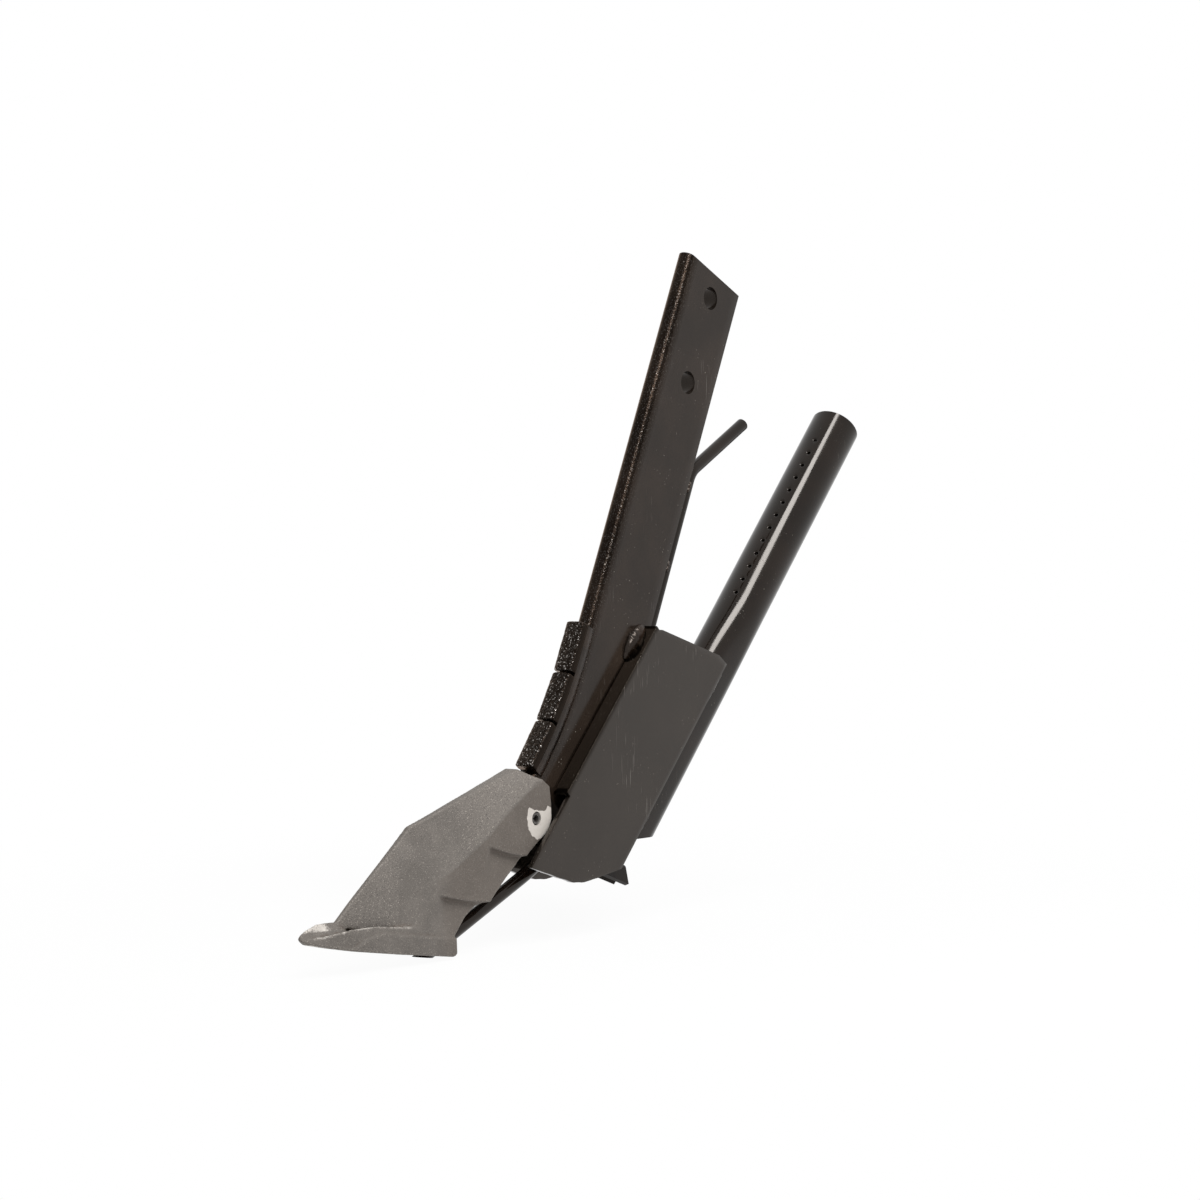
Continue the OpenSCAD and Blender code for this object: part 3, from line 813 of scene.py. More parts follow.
WARM = (1.0, 0.86, 0.76, 1.0)
PALE_WARM = (1.0, 0.94, 0.88, 1.0)


class Sheet:
    """Adds nodes to a node tree and joins them to sockets by name."""

    def __init__(self, tree):
        self.tree = tree
        tree.nodes.clear()

    def add(self, kind, inputs=None, **settings):
        node = self.tree.nodes.new(kind)
        for key, value in settings.items():
            setattr(node, key, value)
        for key, value in (inputs or {}).items():
            if isinstance(value, bpy.types.NodeSocket):
                self.tree.links.new(value, node.inputs[key])
            else:
                node.inputs[key].default_value = value
        return node

    def noise(self, vector, scale, detail=3.0, rough=0.5):
        return self.add("ShaderNodeTexNoise", {"Vector": vector, "Scale": scale, "Detail": detail,
                                               "Roughness": rough}).outputs["Fac"]

    def between(self, value, low, high, start=0.0, end=1.0):
        return self.add("ShaderNodeMapRange", {0: value, 1: low, 2: high, 3: start, 4: end},
                        interpolation_type="SMOOTHSTEP").outputs[0]

    def sum(self, operation, a, b):
        return self.add("ShaderNodeMath", {0: a, 1: b}, operation=operation).outputs[0]

    def blend(self, factor, a, b):
        return self.add("ShaderNodeMix", {0: factor, 6: a, 7: b}, data_type="RGBA").outputs[2]

    def stretched(self, vector, scale):
        return self.add("ShaderNodeMapping", {"Vector": vector, "Scale": scale}).outputs[0]

    def use(self, group, inputs):
        node = self.add("ShaderNodeGroup", node_tree=group)
        for key, value in inputs.items():
            if isinstance(value, bpy.types.NodeSocket):
                self.tree.links.new(value, node.inputs[key])
            else:
                node.inputs[key].default_value = value
        return node


def new_group(name, inputs, outputs):
    """Empty node group with float inputs, a vector called Place, and float outputs."""
    tree = bpy.data.node_groups.new(name, "ShaderNodeTree")
    tree.interface.new_socket("Place", in_out="INPUT", socket_type="NodeSocketVector")
    for key in inputs:
        tree.interface.new_socket(key, in_out="INPUT", socket_type="NodeSocketFloat")
    for key in outputs:
        tree.interface.new_socket(key, in_out="OUTPUT", socket_type="NodeSocketFloat")
    sheet = Sheet(tree)
    return tree, sheet, sheet.add("NodeGroupInput").outputs


def paint_group():
    """Brushed-on paint: long waves, fine peel, dust specks and thin scratches."""
    name = "Paint Surface"
    if name in bpy.data.node_groups:
        return bpy.data.node_groups[name]
    tree, s, given = new_group(name, ["Scratches"], ["Height", "Dust", "Scratch", "Cloud"])
    place = given["Place"]
    peel = s.noise(place, 900, 2)
    waves = s.noise(place, 60, 2)
    pits = s.noise(place, 2600, 2, 0.7)
    height = s.sum("ADD", s.sum("MULTIPLY", peel, 0.35), s.sum("MULTIPLY", waves, 0.8))
    height = s.sum("ADD", height, s.sum("MULTIPLY", pits, 0.12))
    specks = s.add("ShaderNodeTexVoronoi", {"Vector": place, "Scale": 330.0, "Randomness": 1.0})
    patchy = s.between(s.noise(place, 40, 4), 0.45, 0.7)
    size = s.between(s.noise(place, 150, 1), 0.3, 0.8, 0.04, 0.2)
    dot = s.sum("LESS_THAN", specks.outputs["Distance"], size)
    dust = s.sum("MULTIPLY", dot, patchy)
    marks = s.noise(s.stretched(place, (1.0, 1.0, 0.035)), 1300, 1)
    thin = s.between(marks, 0.70, 0.74)
    zone = s.between(s.noise(place, 30, 3), 0.5, 0.66)
    scratch = s.sum("MULTIPLY", s.sum("MULTIPLY", thin, zone), given["Scratches"])
    s.add("NodeGroupOutput", {"Height": height, "Dust": dust, "Scratch": scratch,
                              "Cloud": s.noise(place, 18, 5, 0.6)})
    return tree


def grit_group():
    """Rough metal: lumps, grains and bright glints."""
    name = "Grit Surface"
    if name in bpy.data.node_groups:
        return bpy.data.node_groups[name]
    tree, s, given = new_group(name, ["Size"], ["Height", "Grain", "Glint", "Cloud"])
    place = s.add("ShaderNodeVectorMath", {0: given["Place"], "Scale": given["Size"]},
                  operation="SCALE").outputs[0]
    grain = s.noise(place, 1150, 3, 0.65)
    lumps = s.noise(place, 420, 3, 0.6)
    pits = s.add("ShaderNodeTexVoronoi", {"Vector": place, "Scale": 900.0}).outputs["Distance"]
    height = s.sum("ADD", s.sum("MULTIPLY", lumps, 1.0), s.sum("MULTIPLY", grain, 0.6))
    height = s.sum("ADD", height, s.sum("MULTIPLY", pits, 0.25))
    glint = s.between(s.noise(place, 1500, 1), 0.63, 0.70)
    s.add("NodeGroupOutput", {"Height": height, "Grain": grain, "Glint": glint,
                              "Cloud": s.noise(place, 55, 5, 0.6)})
    return tree


def made_once(build):
    """Wraps a function that makes a finish, so that a finish of that name is made only once."""
    def wrapped(name, *args, **settings):
        return bpy.data.materials.get(name) or build(name, *args, **settings)
    return wrapped


def start_material(name):
    """New material, its sheet of nodes, and the place on the object that its patterns read."""
    material = bpy.data.materials.new(name)
    material.use_nodes = True
    s = Sheet(material.node_tree)
    place = s.add("ShaderNodeTexCoord").outputs["Object"]
    return material, s, place


def close_material(s, height, strength, distance, inputs):
    """Principled shader with a bump, and the output."""
    bump = s.add("ShaderNodeBump", {"Height": height, "Strength": strength, "Distance": distance})
    shader = s.add("ShaderNodeBsdfPrincipled", dict(inputs, Normal=bump.outputs[0]))
    s.add("ShaderNodeOutputMaterial", {"Surface": shader.outputs[0]})
    return shader


def attribute(s, name):
    """A mask that the piece carries at its vertices."""
    return s.add("ShaderNodeAttribute", attribute_name=name).outputs["Fac"]


def shade(colour, factor):
    """A colour made lighter or darker by a factor."""
    return tuple(min(1.0, c * factor) for c in colour[:3]) + (1.0,)


@made_once
def painted(name, colour, rough, scratches, dust=0.5, specular=0.72, bump=0.3, coarse=None,
            cloud=0.35, black=None, tint=WARM):
    """Dark lacquer with peel, dust and scratches; pebbled where the coarse mask is, and made
    deeper black through Metallic where the black mask is, as painted shade."""
    material, s, place = start_material(name)
    out = s.use(paint_group(), {"Place": place, "Scratches": scratches}).outputs
    base = s.blend(s.between(out["Cloud"], 0.35, 0.7), shade(colour, 1 - cloud),
                   shade(colour, 1 + cloud))
    base = s.blend(s.sum("MULTIPLY", out["Dust"], dust), base, (0.30, 0.27, 0.235, 1.0))
    base = s.blend(s.sum("MULTIPLY", out["Scratch"], 0.8), base, (0.26, 0.24, 0.22, 1.0))
    roughness = s.sum("ADD", s.between(out["Cloud"], 0.3, 0.75, rough - 0.015, rough + 0.03),
                      s.sum("MULTIPLY", out["Dust"], 0.25))
    height = out["Height"]
    if coarse:
        grit = s.use(grit_group(), {"Place": place, "Size": 1.0}).outputs
        mask = attribute(s, coarse)
        height = s.sum("ADD", height,
                       s.sum("MULTIPLY", s.sum("MULTIPLY", grit["Height"], mask), 3.2))
        base = s.blend(s.sum("MULTIPLY", s.sum("MULTIPLY", grit["Glint"], mask), 0.25), base,
                       (0.36, 0.34, 0.32, 1.0))
    inputs = {"Base Color": base, "Roughness": roughness, "Specular IOR Level": specular,
              "Specular Tint": tint}
    # Painted shade: where the black mask is, Metallic darkens the lacquer to stand in for dark
    # reflections.
    if black:
        inputs["Metallic"] = s.sum("MULTIPLY", attribute(s, black), 0.92)
    close_material(s, height, bump, 0.0004, inputs)
    return material


@made_once
def weld_material(name, colour):
    """Burnt, painted-over weld: lumpy, glossy in places, with rust-brown and pale spatter."""
    material, s, place = start_material(name)
    out = s.use(grit_group(), {"Place": place, "Size": 0.8}).outputs
    base = s.blend(s.between(out["Cloud"], 0.4, 0.65), shade(colour, 0.6), shade(colour, 1.8))
    base = s.blend(s.between(out["Grain"], 0.66, 0.76, 0.0, 0.5), base, (0.20, 0.18, 0.16, 1.0))
    rough = s.between(out["Grain"], 0.3, 0.7, 0.1, 0.3)
    close_material(s, out["Height"], 0.35, 0.0004,
                   {"Base Color": base, "Roughness": rough, "Specular IOR Level": 0.32,
                    "Specular Tint": WARM})
    return material


@made_once
def wear_material(name, colour):
    """Hard-faced bar: coarse salt-and-pepper grain on its front, dark smooth flanks."""
    material, s, place = start_material(name)
    out = s.use(grit_group(), {"Place": place, "Size": 0.5}).outputs
    front = attribute(s, "front")
    salt = s.between(out["Grain"], 0.53, 0.6)
    pepper = s.blend(s.sum("MULTIPLY", salt, front), shade(colour, 1.2), (0.042, 0.037, 0.033, 1.0))
    base = s.blend(s.sum("MULTIPLY", out["Glint"], front), pepper, (0.34, 0.32, 0.30, 1.0))
    base = s.blend(s.sum("MULTIPLY", s.between(out["Cloud"], 0.5, 0.7), 0.6), base,
                   shade(colour, 0.6))
    rough = s.between(front, 0.0, 1.0, 0.16, 0.26)
    height = s.sum("MULTIPLY", out["Height"], s.between(front, 0.0, 1.0, 0.12, 1.0))
    close_material(s, height, 0.9, 0.0007,
                   {"Base Color": base, "Roughness": rough, "Metallic": 0.8,
                    "Specular IOR Level": 0.2, "Specular Tint": WARM})
    return material


@made_once
def casting_material(name, colour):
    """Blasted cast iron: fine grain and glints; paler upward faces as painted light, paler ridges
    partly from edge wear and partly as painted highlight, browner flats below the crease and in
    hollows as painted shade, and pale scuffs and a pale pad, with painted highlights on the top rim
    and toe.
    """
    material, s, place = start_material(name)
    out = s.use(grit_group(), {"Place": place, "Size": 1.0}).outputs
    pale, brown, scuff = (attribute(s, n) for n in ("pale", "brown", "scuff"))
    base = s.blend(s.between(out["Cloud"], 0.35, 0.68), shade(colour, 0.88), shade(colour, 1.1))
    # Painted light: paler where the pale mask is.
    base = s.blend(s.sum("MULTIPLY", pale, 0.8), base, shade(colour, 1.28))
    # Painted shade: darker brown where the brown mask is.
    base = s.blend(s.sum("MULTIPLY", brown, 0.8), base,
                   (colour[0] * 0.74, colour[1] * 0.66, colour[2] * 0.60, 1.0))
    rough_skin = s.between(s.sum("ADD", pale, s.sum("MULTIPLY", brown, -1.0)), -0.4, 0.6, 0.35, 1.0)
    base = s.blend(s.sum("MULTIPLY", s.between(out["Grain"], 0.53, 0.66, 0.0, 0.75),
                         rough_skin), base,
                   shade(colour, 0.42))
    base = s.blend(s.sum("MULTIPLY", out["Glint"], s.sum("MULTIPLY", rough_skin, 0.75)), base,
                   shade(colour, 3.2))
    broken = s.sum("ADD", s.noise(place, 230, 3, 0.6), s.noise(place, 1100, 4, 0.7))
    # Scuffs, partly painted highlights on the top rim, toe and ridges.
    mark = s.between(s.sum("ADD", scuff, s.sum("MULTIPLY", broken, 0.5)), 0.96, 1.16)
    base = s.blend(mark, base, (0.56, 0.52, 0.475, 1.0))
    rough = s.between(mark, 0.0, 1.0, 0.62, 0.42)
    height = s.sum("MULTIPLY", out["Height"], s.between(mark, 0.0, 1.0, 1.0, 0.3))
    close_material(s, height, 0.8, 0.0005,
                   {"Base Color": base, "Roughness": rough, "Metallic": 0.15,
                    "Specular IOR Level": 0.4})
    return material


@made_once
def steel_material(name, colour):
    """Dark blued spring steel with pale specks from the glint mask, painted glints."""
    material, s, place = start_material(name)
    out = s.use(grit_group(), {"Place": place, "Size": 1.3}).outputs
    base = s.blend(s.between(out["Cloud"], 0.4, 0.65), shade(colour, 0.7), shade(colour, 1.4))
    # Painted glints: pale specks from the glint mask.
    base = s.blend(s.sum("MULTIPLY", out["Glint"], 0.4), base, (0.4, 0.38, 0.36, 1.0))
    rough = s.between(out["Grain"], 0.35, 0.7, 0.28, 0.5)
    close_material(s, out["Height"], 0.25, 0.0002,
                   {"Base Color": base, "Roughness": rough, "Metallic": 0.2})
    return material


def shank_places(thing):
    """Each vertex's drop down the front edge, setback from it, and y, in millimetres."""
    co = vertices(thing)
    v = co[:, 0] * math.cos(LEAN) + co[:, 2] * math.sin(LEAN)
    u = -co[:, 0] * math.sin(LEAN) + co[:, 2] * math.cos(LEAN)
    q = co - BEND_CENTRE
    radius = np.hypot(q[:, 0], q[:, 2])
    angle = np.arctan2(-q[:, 2], -q[:, 0])
    straight = u > -STRAIGHT
    drop = np.where(straight, -u, STRAIGHT + (angle - LEAN) * BEND_R)
    setback = np.where(straight, FRONT_V - v, radius - BEND_R)
    return drop, setback, co[:, 1]


def vertices(thing):
    co = np.empty(len(thing.data.vertices) * 3)
    thing.data.vertices.foreach_get("co", co)
    return co.reshape(-1, 3) / MM


def set_vertices(thing, co):
    thing.data.vertices.foreach_set("co", (co * MM).ravel())
    thing.data.update()


def store(thing, name, values):
    """Keeps one number for each vertex, for a material to read."""
    mesh = thing.data
    if name in mesh.attributes:
        mesh.attributes.remove(mesh.attributes[name])
    layer = mesh.attributes.new(name, "FLOAT", "POINT")
    layer.data.foreach_set("value", np.asarray(values, float))


def standing(thing, rounds=5):
    """How far each vertex stands out, in mm, from its surroundings, averaged over its edges in
    a few rounds: above zero on a ridge, below zero in a hollow, and near zero on a flat."""
    mesh = thing.data
    ends = np.empty(2 * len(mesh.edges), np.int32)
    mesh.edges.foreach_get("vertices", ends)
    normal = np.empty(3 * len(mesh.vertices), np.float32)
    mesh.vertices.foreach_get("normal", normal)
    here, there = np.concatenate([ends, ends.reshape(-1, 2)[:, ::-1].ravel()]).reshape(-1, 2).T
    co = vertices(thing)
    count = np.maximum(np.bincount(here, minlength=len(co)), 1)
    level = co
    for _ in range(rounds):
        level = np.stack([np.bincount(here, level[there, k], len(co)) for k in range(3)], -1)
        level /= count[:, None]
    return ((co - level) * normal.reshape(-1, 3)).sum(1)


def inside_outline(points, outline):
    """Distance inside a convex-ish outline: the least over its edges, below zero outside."""
    outline = np.asarray(outline, float)
    best, inside = np.full(len(points), 1e9), np.zeros(len(points), bool)
    for a, b in zip(outline, np.roll(outline, -1, axis=0)):
        run = b - a
        t = np.clip((points - a) @ run / (run @ run), 0, 1)
        best = np.minimum(best, np.linalg.norm(points - a - t[:, None] * run, axis=1))
        spans = (a[1] > points[:, 1]) != (b[1] > points[:, 1])
        cross = a[0] + (points[:, 1] - a[1]) / (b[1] - a[1] + 1e-12) * run[0]
        inside ^= spans & (points[:, 0] < cross)
    return np.where(inside, best, -best)


def near_line(points, line, width):
    """1 on a line of points and falling to 0 at a width from it."""
    line = np.asarray(line, float)
    best = np.full(len(points), 1e9)
    for a, b in zip(line[:-1], line[1:]):
        run = b - a
        t = np.clip((points - a) @ run / (run @ run), 0, 1)
        best = np.minimum(best, np.linalg.norm(points - a - t[:, None] * run, axis=1))
    return np.clip(1 - best / width, 0, 1)


def tube_paint(look):
    """The thinner, shinier paint that both tubes share."""
    return painted("Tube Paint", look.tube_colour, 0.09, 0.15, dust=0.25, specular=0.28,
                   bump=0.05, tint=PALE_WARM)


def weld_piece(look, name, shape, node):
    """Makes a painted weld that stands for one CAD node."""
    finish_piece(mesh_object(name, shape), weld_material("Weld Paint", look.weld_colour),
                 [node], sharp=60)


# ---------------------------------------------------------------- operators


class OpenerFinish(bpy.types.PropertyGroup):
    paint_colour: bpy.props.FloatVectorProperty(
        name="Shank paint", description="Colour of the paint on the shank",
        subtype="COLOR", size=4, min=0, max=1, default=(0.0125, 0.0085, 0.0062, 1.0))
    plate_colour: bpy.props.FloatVectorProperty(
        name="Boot paint", description="Colour of the paint on the boot's side plates",
        subtype="COLOR", size=4, min=0, max=1, default=(0.0100, 0.0080, 0.0062, 1.0))
    tube_colour: bpy.props.FloatVectorProperty(
        name="Tube paint", description="Colour of the paint on the seed and liquid tubes",
        subtype="COLOR", size=4, min=0, max=1, default=(0.0070, 0.0042, 0.0028, 1.0))
    weld_colour: bpy.props.FloatVectorProperty(
        name="Weld", description="Colour of the painted welds",
        subtype="COLOR", size=4, min=0, max=1, default=(0.0090, 0.0055, 0.0038, 1.0))
    wear_colour: bpy.props.FloatVectorProperty(
        name="Wear bars", description="Colour of the hard-faced wear bars",
        subtype="COLOR", size=4, min=0, max=1, default=(0.0075, 0.0050, 0.0036, 1.0))
    casting_colour: bpy.props.FloatVectorProperty(
        name="Casting", description="Colour of the blasted iron point",
        subtype="COLOR", size=4, min=0, max=1, default=(0.138, 0.123, 0.109, 1.0))
    pin_colour: bpy.props.FloatVectorProperty(
        name="Pin", description="Colour of the spring pin",
        subtype="COLOR", size=4, min=0, max=1, default=(0.045, 0.040, 0.036, 1.0))
    casting_cell: bpy.props.FloatProperty(
        name="Casting cell", description="Size of the casting's mesh cells",
        subtype="DISTANCE", unit="LENGTH", min=0.0005, max=0.003, default=0.0009)


class OpenerStudio(bpy.types.PropertyGroup):
    floor_colour: bpy.props.FloatVectorProperty(
        name="Floor", description="Colour of the studio floor",
        subtype="COLOR", size=4, min=0, max=1, default=(0.88, 0.88, 0.88, 1.0))
    lens: bpy.props.FloatProperty(
        name="Lens", description="Focal length of the camera, in millimetres",
        min=30, max=200, default=88.94)
    key_strength: bpy.props.FloatProperty(
        name="Key lamp", description="Power of the long narrow lamp above and to the left",
        subtype="POWER", unit="POWER", min=0, max=500, default=62.0)


class OPENER_OT_shank(bpy.types.Operator):
    """Makes the shank: a bar with a round front, bent forward, bored, and narrowed to a tang"""
    bl_idname = "opener.shank"
    bl_label = "Shank"

    def execute(self, context):
        look = context.scene.opener_finish
        bar = mesh_object("Shank", shank_shape())
        for end in (-1, 1):
            cut_away(bar, cylinder(shank_point(0, end * HOLE_SPACING / 2), Y_AXIS, HOLE_R, 12, 80))
        cut_away(bar, cylinder(PIN_PLACE, Y_AXIS, PIN_R + 0.05, 12, 64))
        merge_close(bar, 0.01)
        bevelled(bar, 0.35, 2, 50)
        setback = shank_places(bar)[1]
        # The coarse mask is also the black mask: painted shade that darkens the round front through
        # Metallic.
        store(bar, "coarse", smooth_step((8.5 - setback) / 3.0))
        finish_piece(bar, painted("Shank Paint", look.paint_colour, 0.14, 0.25, specular=0.27,
                                  bump=0.2,
                                  coarse="coarse", black="coarse"),
                     ["shank"], sharp=16)
        return {"FINISHED"}


class OPENER_OT_wear_bars(bpy.types.Operator):
    """Makes the three hard-faced bars on the front of the bend and the welds beside them"""
    bl_idname = "opener.wear_bars"
    bl_label = "Wear Bars"

    def execute(self, context):
        look = context.scene.opener_finish
        for index, part in enumerate(("upper", "middle", "lower")):
            bar = mesh_object("Wear_Bar_" + part.title(), wear_bar_shape(index, 20 + 7 * index))
            _, setback, y = shank_places(bar)
            front = (smooth_step((-setback - 4.2) / 2.0)
                     * smooth_step((WEAR_W / 2 + 0.1 - np.abs(y)) / 0.8))
            store(bar, "front", front)
            finish_piece(bar, wear_material("Hard Facing", look.wear_colour),
                         ["wear_bar_" + part], sharp=50)
        for side, part in SIDES:
            weld_piece(look, "Wear_Weld_" + part.title(), wear_weld_shape(side, 40 + side),
                       "wear_weld_" + part)
        return {"FINISHED"}


class OPENER_OT_point(bpy.types.Operator):
    """Makes the cast point: blade and foot fused, with its socket, pin bore and tube slot"""
    bl_idname = "opener.point"
    bl_label = "Cast Point"

    def execute(self, context):
        look = context.scene.opener_finish
        cast = mesh_object("Cast_Point", joined([blade_shape(), foot_shape()]))
        mod = cast.modifiers.new("fuse", "REMESH")
        mod.mode, mod.voxel_size, mod.adaptivity = "VOXEL", look.casting_cell, 0.0
        mod = cast.modifiers.new("soften", "SMOOTH")
        mod.factor, mod.iterations = 0.5, 3
        apply_modifiers(cast)
        co = vertices(cast)
        away = co - PIN_PLACE
        wave = lattice_noise(co, 9.0, 3) + 0.5 * lattice_noise(co, 4.0, 4) - 0.75
        pad = np.linalg.norm(away[:, [0, 2]] - [1.5, 1.0], axis=1)
        calm = smooth_step((pad - 12) / 8)
        co[:, 1] += np.sign(co[:, 1]) * 0.22 * wave * calm * (np.abs(co[:, 1]) > 3)
        set_vertices(cast, co)
        cut_away(cast, socket_cutter())
        cut_away(cast, cylinder(PIN_PLACE, Y_AXIS, PIN_R + 0.05, 20, 64))
        cut_away(cast, tube_cutter(0.6))
        cast_masks(cast)
        finish_piece(cast, casting_material("Blasted Iron", look.casting_colour),
                     ["point"], sharp=55)
        return {"FINISHED"}


def cast_masks(cast):
    """Where the casting is paler (painted light on the upward wedge and knife faces, and ridges
    that are partly worn and partly painted highlight), browner (painted shade below the crease and
    in hollows) or scuffed (with painted highlights on the top rim and toe), from places on its
    outline.
    """
    co = vertices(cast)
    x, y, z = (co - PIN_PLACE).T
    flat = np.stack([x, z], -1)
    crease = np.interp(x, [-20, -6, 9.7, 35.4, 50.7, 85.2, 120],
                       [30, 26, 18.8, 3.2, -8.2, -26.2, -40])
    # Painted light: the upward-facing wedge above the crease is made paler.
    wedge = smooth_step((z - crease) / 1.4)
    second = np.interp(z, [-60, -25, 2], [139.2, 133.2, 128.7])
    knife = smooth_step((x - second) / 1.4)
    ridge = standing(cast)
    # Ridges that stand out are paler: partly edge wear, partly painted highlight.
    ridge_wear_and_highlight = smooth_step((ridge - 0.05) / 0.22)
    # Painted shade: hollows are made darker brown.
    hollow = smooth_step((-ridge - 0.04) / 0.2)
    wedge = wedge * (1 - 0.95 * smooth_step((x - 45) / 45))
    # Painted light on the wedge, knife face and ridges, kept above z = -62 except on ridges.
    pale = np.maximum.reduce([0.9 * wedge, 0.45 * knife, 0.8 * ridge_wear_and_highlight])
    store(cast, "pale", pale * np.maximum(smooth_step((z + 62) / 4), ridge_wear_and_highlight))
    # Painted shade: darker brown below the crease and in hollows.
    below = smooth_step((crease - z) / 1.8) * smooth_step((112 - x) / 30)
    store(cast, "brown", np.maximum(below * 0.6, hollow))
    pad = inside_outline(flat, [(9.1, 8.0), (4.5, 7.0), (-3.2, 5.6), (-8.1, 4.5), (-12.5, 8.0),
                                (-19, 5),
                                (-19, -4), (-14.5, -10), (-8, -13.5), (-0.5, -14.8), (5, -11.5),
                                (8.5, -7.1), (10.4, 0.0)])
    pad = pad + 1.6 * (lattice_noise(co, 2.4, 8) - 0.5)
    pad = smooth_step((pad + 0.7) / 1.4) * (np.abs(y) > POINT_HALF - 2.5)
    lip = near_line(co - PIN_PLACE, [(120, 13.4, -63.3), (161.7, 13.3, -57.3), (185.7, 12.4, -57.1),
                                     (197.7, 8.4, -59.2), (212.7, 4.4, -61.4)], 5.0)
    lip = lip * smooth_step((x - 112) / 25) * 0.66
    # Toe's upward top: partly scuffed, partly a painted highlight.
    toe = smooth_step((x - 188) / 14) * smooth_step((z + 60.5) / 3.5) * 0.62
    edge = near_line(flat, [(184, -72.4), (199, -69.6), (216, -65.6)], 1.4) * 0.7
    # Painted highlight along the top rim.
    rim = near_line(flat, [(-6.5, 26.8), (10.6, 34.4)], 1.2) * 0.45
    store(cast, "scuff", np.maximum.reduce([pad, lip, toe, edge, rim, 0.42 * ridge_wear_and_highlight]))


class OPENER_OT_pin(bpy.types.Operator):
    """Makes the split spring pin that holds the point"""
    bl_idname = "opener.pin"
    bl_label = "Roll Pin"

    def execute(self, context):
        look = context.scene.opener_finish
        pin = mesh_object("Roll_Pin", split_pin_shape())
        finish_piece(pin, steel_material("Spring Steel", look.pin_colour),
                     ["roll_pin"], body="pin", sharp=40)
        return {"FINISHED"}


class OPENER_OT_liquid_tube(bpy.types.Operator):
    """Makes the liquid tube behind the shank and the tacks that hold it"""
    bl_idname = "opener.liquid_tube"
    bl_label = "Liquid Tube"

    def execute(self, context):
        look = context.scene.opener_finish
        tube = mesh_object("Liquid_Tube", liquid_tube_shape())
        finish_piece(tube, tube_paint(look), ["liquid_tube"], sharp=40)
        weld_piece(look, "Liquid_Tacks", tack_shapes(60), "liquid_tacks")
        return {"FINISHED"}


class OPENER_OT_boot(bpy.types.Operator):
    """Makes the boot's folded side plates and their welds to the shank"""
    bl_idname = "opener.boot"
    bl_label = "Boot Sides"

    def execute(self, context):
        look = context.scene.opener_finish
        for side, part in SIDES:
            plate = mesh_object("Boot_Side_" + part.title(), boot_side_shape(side))
            merge_close(plate, 0.02)
            mod = plate.modifiers.new("thick", "SOLIDIFY")
            mod.thickness, mod.use_even_offset = PLATE_T * MM, True
            mod.offset = -1.0
            apply_modifiers(plate)
            bevelled(plate, 0.25, 2, 50)
            corner = boot_point(0, 0, 0)
            ahead = (vertices(plate) - corner) @ (boot_point(1, 0, 0) - corner)
            # Painted shade: the flange mask makes the folded front flange deeper black through
            # Metallic.
            store(plate, "flange", smooth_step((ahead + 1.1) / 0.8))
            finish_piece(plate, painted("Boot Paint", look.plate_colour, 0.08, 0.4, dust=0.3,
                                        specular=0.45, bump=0.07, cloud=0.22, black="flange"),
                         ["boot_side_" + part])
            weld_piece(look, "Boot_Weld_" + part.title(), boot_weld_shape(side, 80 + side),
                       "boot_weld_" + part)
        return {"FINISHED"}


class OPENER_OT_seed_tube(bpy.types.Operator):
    """Makes the seed tube, pressed flat in the boot, with its air holes and seam welds"""
    bl_idname = "opener.seed_tube"
    bl_label = "Seed Tube"

    def execute(self, context):
        look = context.scene.opener_finish
        tube = mesh_object("Seed_Tube", seed_tube_shape())
        cut_away(tube, air_hole_shapes())
        finish_piece(tube, tube_paint(look), ["seed_tube"], sharp=40)
        for side, part in SIDES:
            weld_piece(look, "Seam_Weld_" + part.title(), seam_weld_shape(side, 90 + side),
                       "seam_weld_" + part)
        return {"FINISHED"}


class OPENER_OT_deflector(bpy.types.Operator):
    """Makes the seed deflector in the boot and its strap"""
    bl_idname = "opener.deflector"
    bl_label = "Deflector"

    def execute(self, context):
        look = context.scene.opener_finish
        for name, shape, node in (("Deflector", deflector_shape(), "deflector"),
                                  ("Deflector_Strap", strap_shape(), "deflector_strap")):
            thing = mesh_object(name, shape)
            finish_piece(thing, painted("Deflector Paint", look.tube_colour, 0.35, 0.1, dust=0.1,
                                        specular=0.08), [node])
        return {"FINISHED"}


# The lamp stands this way from the object's middle, this far off, and is this wide and tall;
# the camera stands at its place with its back this way. All in metres.
LAMP_WAY = np.array([0.094, 0.594, 0.799])
LAMP_FAR = 2.4
LAMP_SIZE = (0.45, 2.0)
CAMERA_PLACE = (1.7886, 1.2880, -0.1539)
CAMERA_BACK = (0.7928, 0.6092, 0.0175)


